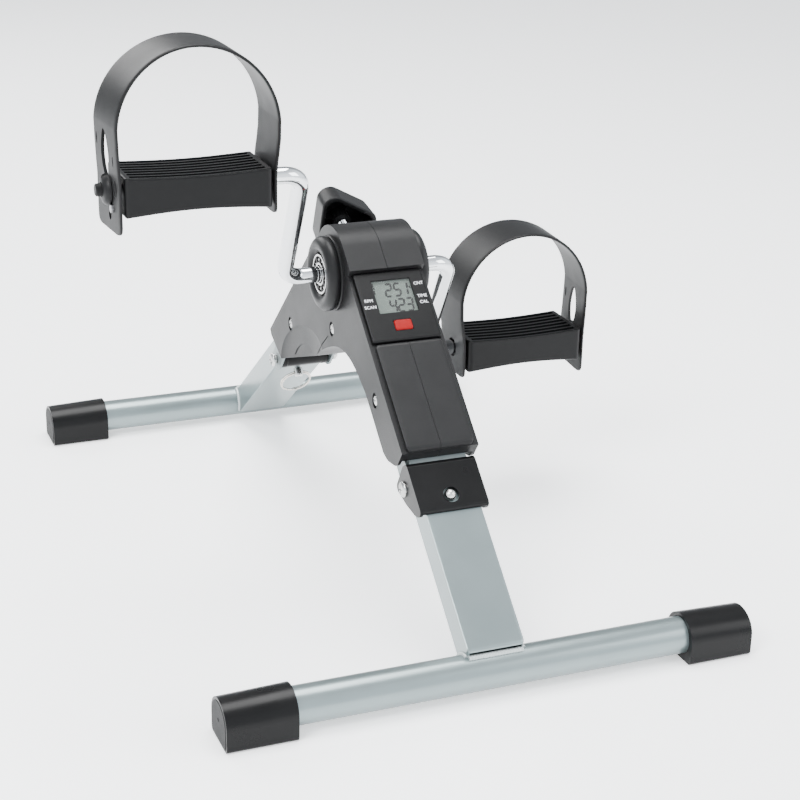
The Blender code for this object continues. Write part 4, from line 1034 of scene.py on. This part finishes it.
def digit_pieces(character, x, along):
    """The seven-segment bars of one figure as outlines in the display's plane."""
    left, right, base, top = x, x + DIGIT_SIZE[0], along, along + DIGIT_SIZE[1]
    middle, tip = along + DIGIT_SIZE[1] / 2, DIGIT_THICK / 2
    bars = {
        "a": ((left, top), (right, top)),
        "b": ((right, top), (right, middle)),
        "c": ((right, middle), (right, base)),
        "d": ((left, base), (right, base)),
        "e": ((left, middle), (left, base)),
        "f": ((left, top), (left, middle)),
        "g": ((left, middle), (right, middle)),
    }
    outlines = []
    for key in SEGMENTS[character]:
        start, end = Vector(bars[key][0]), Vector(bars[key][1])
        run = (end - start).normalized()
        side = Vector((-run.y, run.x)) * tip
        near, far = start + run * DIGIT_THICK * 0.6, end - run * DIGIT_THICK * 0.6
        outline = [near - run * tip, near + side, far + side, far + run * tip, far - side, near - side]
        outlines.append([(a + DIGIT_SLANT * (b - along), b) for a, b in outline])
    return outlines


def make_digits():
    """Two rows of slanted figures, and a few small marks, as thin inked bars on the display."""
    shapes = []
    for row, text, starts in DIGIT_ROWS:
        for character, start in zip(text, starts):
            shapes += digit_pieces(character, start, row)
    for left, low, high in MARKS:
        right = left + MARK_WIDTH
        shapes.append([(left, low), (right, low), (right, high), (left, high)])
    shapes.append(ARROW)
    place = leg_frame(FRONT, 0, 0)
    bars = [prism("bar", outline, 0.0099, 0.0101, place) for outline in shapes]
    done(merge("lcd_digits", bars), "body", "ink", "lcd_glass")


def merge(name, items):
    """Several loose meshes as one piece."""
    work = bmesh.new()
    for item in items:
        work.from_mesh(item.data)
        bpy.data.objects.remove(item)
    return made_from(work, name)


def make_labels():
    """The printed names of the readings, on the case beside the display."""
    made = []
    for text, x, along in LABELS:
        curve = bpy.data.curves.new("label", "FONT")
        curve.body = text
        curve.size = LABEL_SIZE
        curve.align_x = "CENTER"
        curve.extrude = LABEL_THICK
        item = add("label", curve)
        item.matrix_world = leg_frame(FRONT, along, LABEL_OUT, x)
        made.append(apply(item))
    done(merge("display_labels", made), "body", "print", "black_plastic")


# --- crank, brake and knob ---


ROD_R, ROD_END = 0.0058, 0.1905
KNOB_NEAR, KNOB_FAR, HOLLOW_FLOOR = 0.0560, 0.0750, 0.0705
THREAD_R, THREAD_ROOT, THREAD_PITCH = 0.0030, 0.0026, 0.001


def bend(before, corner, after, radius, steps=20):
    first, last = (before - corner).normalized(), (after - corner).normalized()
    half = first.angle(last) / 2
    middle = corner + (first + last).normalized() * radius / sin(half)
    start, end = corner + first * radius / tan(half), corner + last * radius / tan(half)
    points = []
    for i in range(steps + 1):
        arm = (start - middle).lerp(end - middle, i / steps)
        points.append(middle + arm.normalized() * radius)
    return points


def make_crank():
    corners = []
    for hand in (-1, 1):
        pedal = pedal_axis(hand)
        arm = [
            Vector((hand * ROD_END, *pedal)),
            Vector((hand * ARM_X_PEDAL, *pedal)),
            Vector((hand * ARM_X_AXLE, *AXLE)),
        ]
        corners += arm if hand < 0 else arm[::-1]
    points = [corners[0]]
    for before, corner, after in zip(corners, corners[1:], corners[2:]):
        points += bend(before, corner, after, CRANK_BEND_R)
    points.append(corners[-1])
    done(wire("bent_rod", points, ROD_R, 10), "crank", "chrome", "chrome", "crank_rod")


def rounded_triangle(side, corner_radius, steps=16):
    """An equal-sided outline: its sides lie at one distance from the middle, one corner at +X."""
    reach = 2 * (side - corner_radius)
    outline = []
    for corner in (0, 120, 240):
        middle = (reach * cos(radians(corner)), reach * sin(radians(corner)))
        outline += arc(middle, corner_radius, corner - 60, corner + 60, steps)
    return outline


def lofted(name, low_outline, low, high_outline, high, place):
    """A solid between two outlines with the same number of points."""
    ends = ((low_outline, low), (high_outline, high))
    return skinned(name, [[place @ Vector((*spot, z)) for spot in line] for line, z in ends])


def make_knob():
    """A hollow three-cornered knob, wider at its mouth, on a bright screw."""
    place = pointing((0, *AXLE), (0, cos(BRAKE_TILT), sin(BRAKE_TILT)))
    mouth, top = rounded_triangle(0.0180, 0.0092), rounded_triangle(0.0166, 0.0090)
    knob = soften(lofted("three_cornered_knob", mouth, KNOB_NEAR, top, KNOB_FAR, place), 0.0014, 4, 60)
    mouth, top = rounded_triangle(0.0152, 0.0066), rounded_triangle(0.0142, 0.0062)
    knob = cut(knob, lofted("hollow", mouth, KNOB_NEAR - 0.006, top, HOLLOW_FLOOR, place))
    knob = join(knob, upright("hub", place, 0.0590, 0.0715, 0.0066))
    rib = [(0.004, -0.0008), (0.0148, -0.0008), (0.0148, 0.0008), (0.004, 0.0008)]
    for i in range(3):
        spin = place @ Matrix.Rotation(2 * pi * (i + 0.5) / 3, 4, "Z")
        knob = join(knob, prism("rib", rib, 0.0640, 0.0712, spin))
    knob = cut(knob, upright("bore", place, 0.05, 0.0695, 0.0033))
    done(soften(knob, 0.0006, 3, 50), "tension", "knob", "grey_plastic", "tension_knob")
    make_thread(place)


def make_thread(place):
    """The tension screw with its 1 mm pitch thread."""
    profile = [(0, 0.0692), (THREAD_R, 0.0692)]
    height = 0.0575
    while height > 0.0236:
        profile += [(THREAD_R, height), (THREAD_ROOT, height - THREAD_PITCH / 2)]
        height -= THREAD_PITCH
    profile += [(0.0022, 0.0226), (0, 0.0226)]
    screw = turned("threaded_screw", profile, place, 48)
    done(screw, "tension", "chrome", "chrome", "tension_screw")


# --- pedals ---


STRAP_IN, STRAP_OUT, STRAP_THICK = 0.0965, 0.2002, 0.0022
STRAP_LOW_IN, STRAP_LOW_OUT = -0.019, -0.026
STRAP_LOOP, STRAP_LOOP_R = (0.1475, 0.038), 0.0541
STRAP_HALF, STRAP_NARROW, STRAP_TWIST = 0.0228, 0.0008, 0.08
STRAP_END_STEPS = (0, 0.0004, 0.001, 0.0018, 0.0028, 0.0042, 0.0060, 0.0085, 0.0115)
RIBBON_STEPS, RIBBON_EDGE = 14, 0.0012
PEDAL_HALF, TREAD_TOP, GROOVES, GROOVE_MARGIN = 0.0245, 0.0120, 7, 0.0020
PEG_R, PEG_STUB_R = 0.0028, 0.0042


def ribbon(name, centres, edges, thickness):
    """A flat strap along (x, z) points with rounded edges and the y of both edges at each."""
    rings = []
    for i, (x, z) in enumerate(centres):
        before, after = centres[max(i - 1, 0)], centres[min(i + 1, len(centres) - 1)]
        run = Vector((after[0] - before[0], 0, after[1] - before[1])).normalized()
        side = Vector((-run.z, 0, run.x))
        low, high = edges[i]
        ring = []
        for face in (1, -1):
            for j in range(RIBBON_STEPS + 1):
                share = j / RIBBON_STEPS if face > 0 else 1 - j / RIBBON_STEPS
                share = 0.5 - 0.5 * cos(pi * share)
                edge = min(share, 1 - share) * (high - low)
                thin = min(1.0, 0.5 + 0.5 * (edge / RIBBON_EDGE) ** 0.5)
                middle = Vector((x, low + (high - low) * share, z))
                ring.append(middle + side * face * thickness / 2 * thin)
        rings.append(ring)
    return skinned(name, rings)


def strap_path():
    """The strap's centre line, measured from the spindle: (distance from x = 0, height)."""
    rise = [(STRAP_IN, STRAP_LOW_IN + step) for step in STRAP_END_STEPS]
    rise += [(STRAP_IN, -0.002), (STRAP_IN, 0.006), (0.0958, 0.014), (0.0948, 0.021)]
    rise.append((0.0938, 0.030))
    loop = arc(STRAP_LOOP, STRAP_LOOP_R, 176, 4, 72)
    fall = [(0.2012, 0.030), (0.2009, 0.021), (0.2006, 0.014)]
    fall += [(STRAP_OUT, 0.006), (STRAP_OUT, -0.002), (STRAP_OUT, -0.009)]
    fall += [(STRAP_OUT, STRAP_LOW_OUT + step) for step in STRAP_END_STEPS[::-1]]
    return rise + loop + fall


def strap_edges(path):
    """The y of both edges at each point: rounded ends, the inner one tapered at its back."""
    crown = STRAP_LOOP[1] + STRAP_LOOP_R
    edges = []
    for x, height in path:
        half = STRAP_HALF - STRAP_NARROW * min(max(height / crown, 0), 1)
        inner = x < STRAP_LOOP[0]
        from_end = height - (STRAP_LOW_IN if inner else STRAP_LOW_OUT)
        front_r, back_r = (0.0045, 0.0030) if inner else (0.0060, 0.0050)
        taper = min(max(0.006 - height, 0) / 0.025, 1) if inner else 0
        front, back = round_corner(from_end, front_r), round_corner(from_end, back_r)
        edges.append((-half + front, half - 0.8 * taper * half - back))
    return edges


def round_corner(distance, radius):
    """How far a rounded corner draws the edge in, at a distance from the strap's end."""
    rest = max(radius - distance, 0)
    return radius - (radius * radius - rest * rest) ** 0.5


def twist(strap, hand):
    """Turns the outer side a little, so that its front edge lies nearer the pedal."""
    for vertex in strap.data.vertices:
        share = (hand * vertex.co.x - STRAP_LOOP[0]) / STRAP_LOOP_R
        vertex.co.x += hand * STRAP_TWIST * vertex.co.y * min(max(share, 0), 1)


def oval(centre, half_y, half_z, steps=40, lean=0.0):
    """An oval outline in the side view, its top drawn to a point by the lean."""
    points = []
    for i in range(steps):
        turn = 2 * pi * i / steps
        narrow = 1 - lean * max(sin(turn), 0)
        points.append((centre[0] + half_y * cos(turn) * narrow, centre[1] + half_z * sin(turn)))
    return points


def make_strap(hand, word, axis):
    path = strap_path()
    centres = [(hand * x, z) for x, z in path]
    strap = ribbon(f"strap_{word}", centres, strap_edges(path), STRAP_THICK)
    twist(strap, hand)
    strap.data.transform(Matrix.Translation((0, *axis)))
    y, z = axis
    boss = [(0, 0.2048), (0.0048, 0.2048), (0.0050, 0.2058), (0.0068, 0.2055), (0.0086, 0.2048)]
    boss += [(0.0098, 0.2036), (0.0104, 0.2022), (0.0105, 0.2010), (0, 0.2010)]
    strap = join(strap, turned("boss", boss, outwards(axis, hand), 64))
    through = sided(hand, 0.180, 0.220)
    skin = sided(hand, 0.2006, 0.220)
    cutters = [
        across("spindle", axis, *sided(hand, 0.085, 0.103), 0.0074, 48),
        across("peg", axis, *sided(hand, 0.195, 0.215), 0.0031, 32),
        prism("slot", oval((y + 0.0015, z + 0.0230), 0.0072, 0.0160, 48, 0.25), *through),
        prism("eyelet", oval((y - 0.0030, z - 0.0158), 0.0022, 0.0034), *through),
        prism("mark", oval((y - 0.0140, z + 0.0210), 0.0010, 0.0034), *skin),
        prism("mark", oval((y + 0.0165, z + 0.0300), 0.0010, 0.0040), *skin),
        prism("mark", oval((y - 0.0130, z - 0.0190), 0.0011, 0.0034), *skin),
    ]
    strap = cut(strap, *cutters)
    done(strap, f"{word}_pedal", "strap", "strap_rubber", f"pedal_strap_{word}", sharp=50)
    make_strap_trim(hand, word, axis)


def make_strap_trim(hand, word, axis):
    """A small oval frame beside the pivot and a bright rivet below it, on the outer face."""
    y, z = axis
    frame_line = oval((y - 0.0145, z + 0.0035), 0.0024, 0.0050, 32)
    points = [Vector((hand * (0.2014 + STRAP_TWIST * (a - y)), a, b)) for a, b in frame_line]
    trim = wire(f"strap_frame_{word}", points, 0.0005, 3, cyclic=True)
    done(trim, f"{word}_pedal", "strap", "strap_rubber", sharp=60)
    nut = circled((y - 0.0085, z - 0.0105), 0.0030, 0.0030, 6)
    rivet = soften(prism(f"strap_rivet_{word}", nut, *sided(hand, 0.2000, 0.2022)), 0.0004, 2, 40)
    done(rivet, f"{word}_pedal", "steel", "zinc")


def pedal_block(hand, axis, low, high, top, bottom, half, dip, arch, steps=24):
    """A pedal's body along X, its tread dipped and its underside arched along its length."""
    rings = []
    y, z = axis
    for i in range(steps + 1):
        share = i / steps
        x = hand * (low + (high - low) * share)
        under, over = z + bottom + arch * sin(pi * share), z + top - dip * sin(pi * share)
        rings.append([(x, y - half, under), (x, y + half, under), (x, y + half, over), (x, y - half, over)])
    return skinned("block", rings)


def soften_uprights(item, width, others):
    """Rounds the sharp edges: the upright ones by a width, the others by a share of it."""
    mesh = item.data
    mesh.attributes.new("bevel_weight_edge", "FLOAT", "EDGE")
    work = bmesh.new()
    work.from_mesh(mesh)
    layer = work.edges.layers.float["bevel_weight_edge"]
    for edge in work.edges:
        if edge.calc_face_angle(0) < radians(60):
            continue
        run = edge.verts[1].co - edge.verts[0].co
        edge[layer] = 1.0 if abs(run.z) > 0.9 * run.length else others
    work.to_mesh(mesh)
    work.free()
    step = item.modifiers.new("Round", "BEVEL")
    step.width = width
    step.segments = 5
    step.limit_method = "WEIGHT"
    return apply(item)


def make_pedal(hand, word):
    """A hollow block with eight long tread ribs, dipped in the middle, over a deep pocket."""
    axis = y, z = pedal_axis(hand)
    ends = (PEDAL_IN, PEDAL_OUT)
    block = pedal_block(hand, axis, *ends, TREAD_TOP, -0.0140, PEDAL_HALF, 0.0016, 0.0026)
    block.name = f"tread_{word}"
    block = soften_uprights(block, 0.0036, 0.4)
    ends = (PEDAL_IN + 0.003, PEDAL_OUT - 0.003)
    block = cut(block, pedal_block(hand, axis, *ends, 0.0052, -0.03, 0.0222, 0.0, 0.0))
    grooves = []
    pitch = 2 * (PEDAL_HALF - GROOVE_MARGIN) / GROOVES
    ends = (PEDAL_IN + 0.004, PEDAL_OUT - 0.004)
    for i in range(GROOVES):
        middle = (y - PEDAL_HALF + GROOVE_MARGIN + pitch * (i + 0.5), z)
        grooves.append(pedal_block(hand, middle, *ends, 0.03, 0.0084, pitch * 0.31, 0.0, -0.0016))
    block = cut(block, *grooves)
    front, back, foot, head = y - 0.0225, y + 0.0225, z - 0.0085, z + 0.0056
    for index in range(3):
        x = PEDAL_IN + 0.022 + index * 0.026
        web = [(front, foot), (back, foot), (back, head), (front, head)]
        block = join(block, prism("web", web, *sided(hand, x, x + 0.002)))
    tube = across("spindle_tube", axis, *sided(hand, PEDAL_IN + 0.001, 0.1846), 0.0090)
    block = cut(
        join(block, tube),
        across("spindle_bore", axis, *sided(hand, 0.090, 0.1910), 0.0062),
        across("clip_room", axis, *sided(hand, 0.1855, 0.1883), 0.0084),
        across("peg_hole", axis, *sided(hand, 0.1920, 0.2100), 0.0031, 32),
    )
    done(block, f"{word}_pedal", "pedal", "black_plastic", f"pedal_{word}", sharp=35)
    make_strap(hand, word, axis)
    make_peg(hand, word, axis)


def make_peg(hand, word, axis):
    """The strap's peg, its blunt head standing out of the boss."""
    profile = [(0, 0.2098), (0.0034, 0.2097), (PEG_STUB_R, 0.2090), (0.0043, 0.2052)]
    profile += [(PEG_R, 0.2051), (PEG_R, 0.1926), (0, 0.1926)]
    peg = turned(f"peg_{word}", profile, outwards(axis, hand), 48)
    done(peg, f"{word}_pedal", "matte", "matte_black", f"strap_peg_{word}")


# --- the nodes that stay ---

KEPT = {
    "frame": ("main_frame",),
    "lcd": ("lcd_panel",),
    "board": ("circuit_board",),
    "matte": ("speed_sensor",),
    "brake": ("brake_shoe",),
    "nylon": ("axle_bush_left", "axle_bush_right"),
    "zinc": (
        *("button_cell", "sensor_magnet", "brake_drum", "axle_collar_left", "axle_collar_right"),
        *("spindle_clip_left", "spindle_clip_right"),
    ),
}


def finish_kept_nodes():
    for material, names in KEPT.items():
        for node in [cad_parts[name] for name in names]:
            node.data.materials.clear()
            node.data.materials.append(MATERIALS[material])
            step = node.modifiers.new("Round", "BEVEL")
            step.width = 0.0003
            step.segments = 2
            step.limit_method = "ANGLE"
            step.angle_limit = radians(40)


for leg, hole_radius in ((FRONT, 0.0056), (REAR, 0.0044)):
    make_foot(leg)
    make_cover(leg, hole_radius)
    make_hinge_bolt(leg)
make_leg(FRONT, (make_front_lock(),))
make_leg(REAR, make_rear_lock())
for hand, word in SIDES:
    make_housing(hand, word)
    make_pedal(hand, word)
make_housing_screws()
make_hub_caps()
make_console()
make_crank()
make_knob()
finish_kept_nodes()
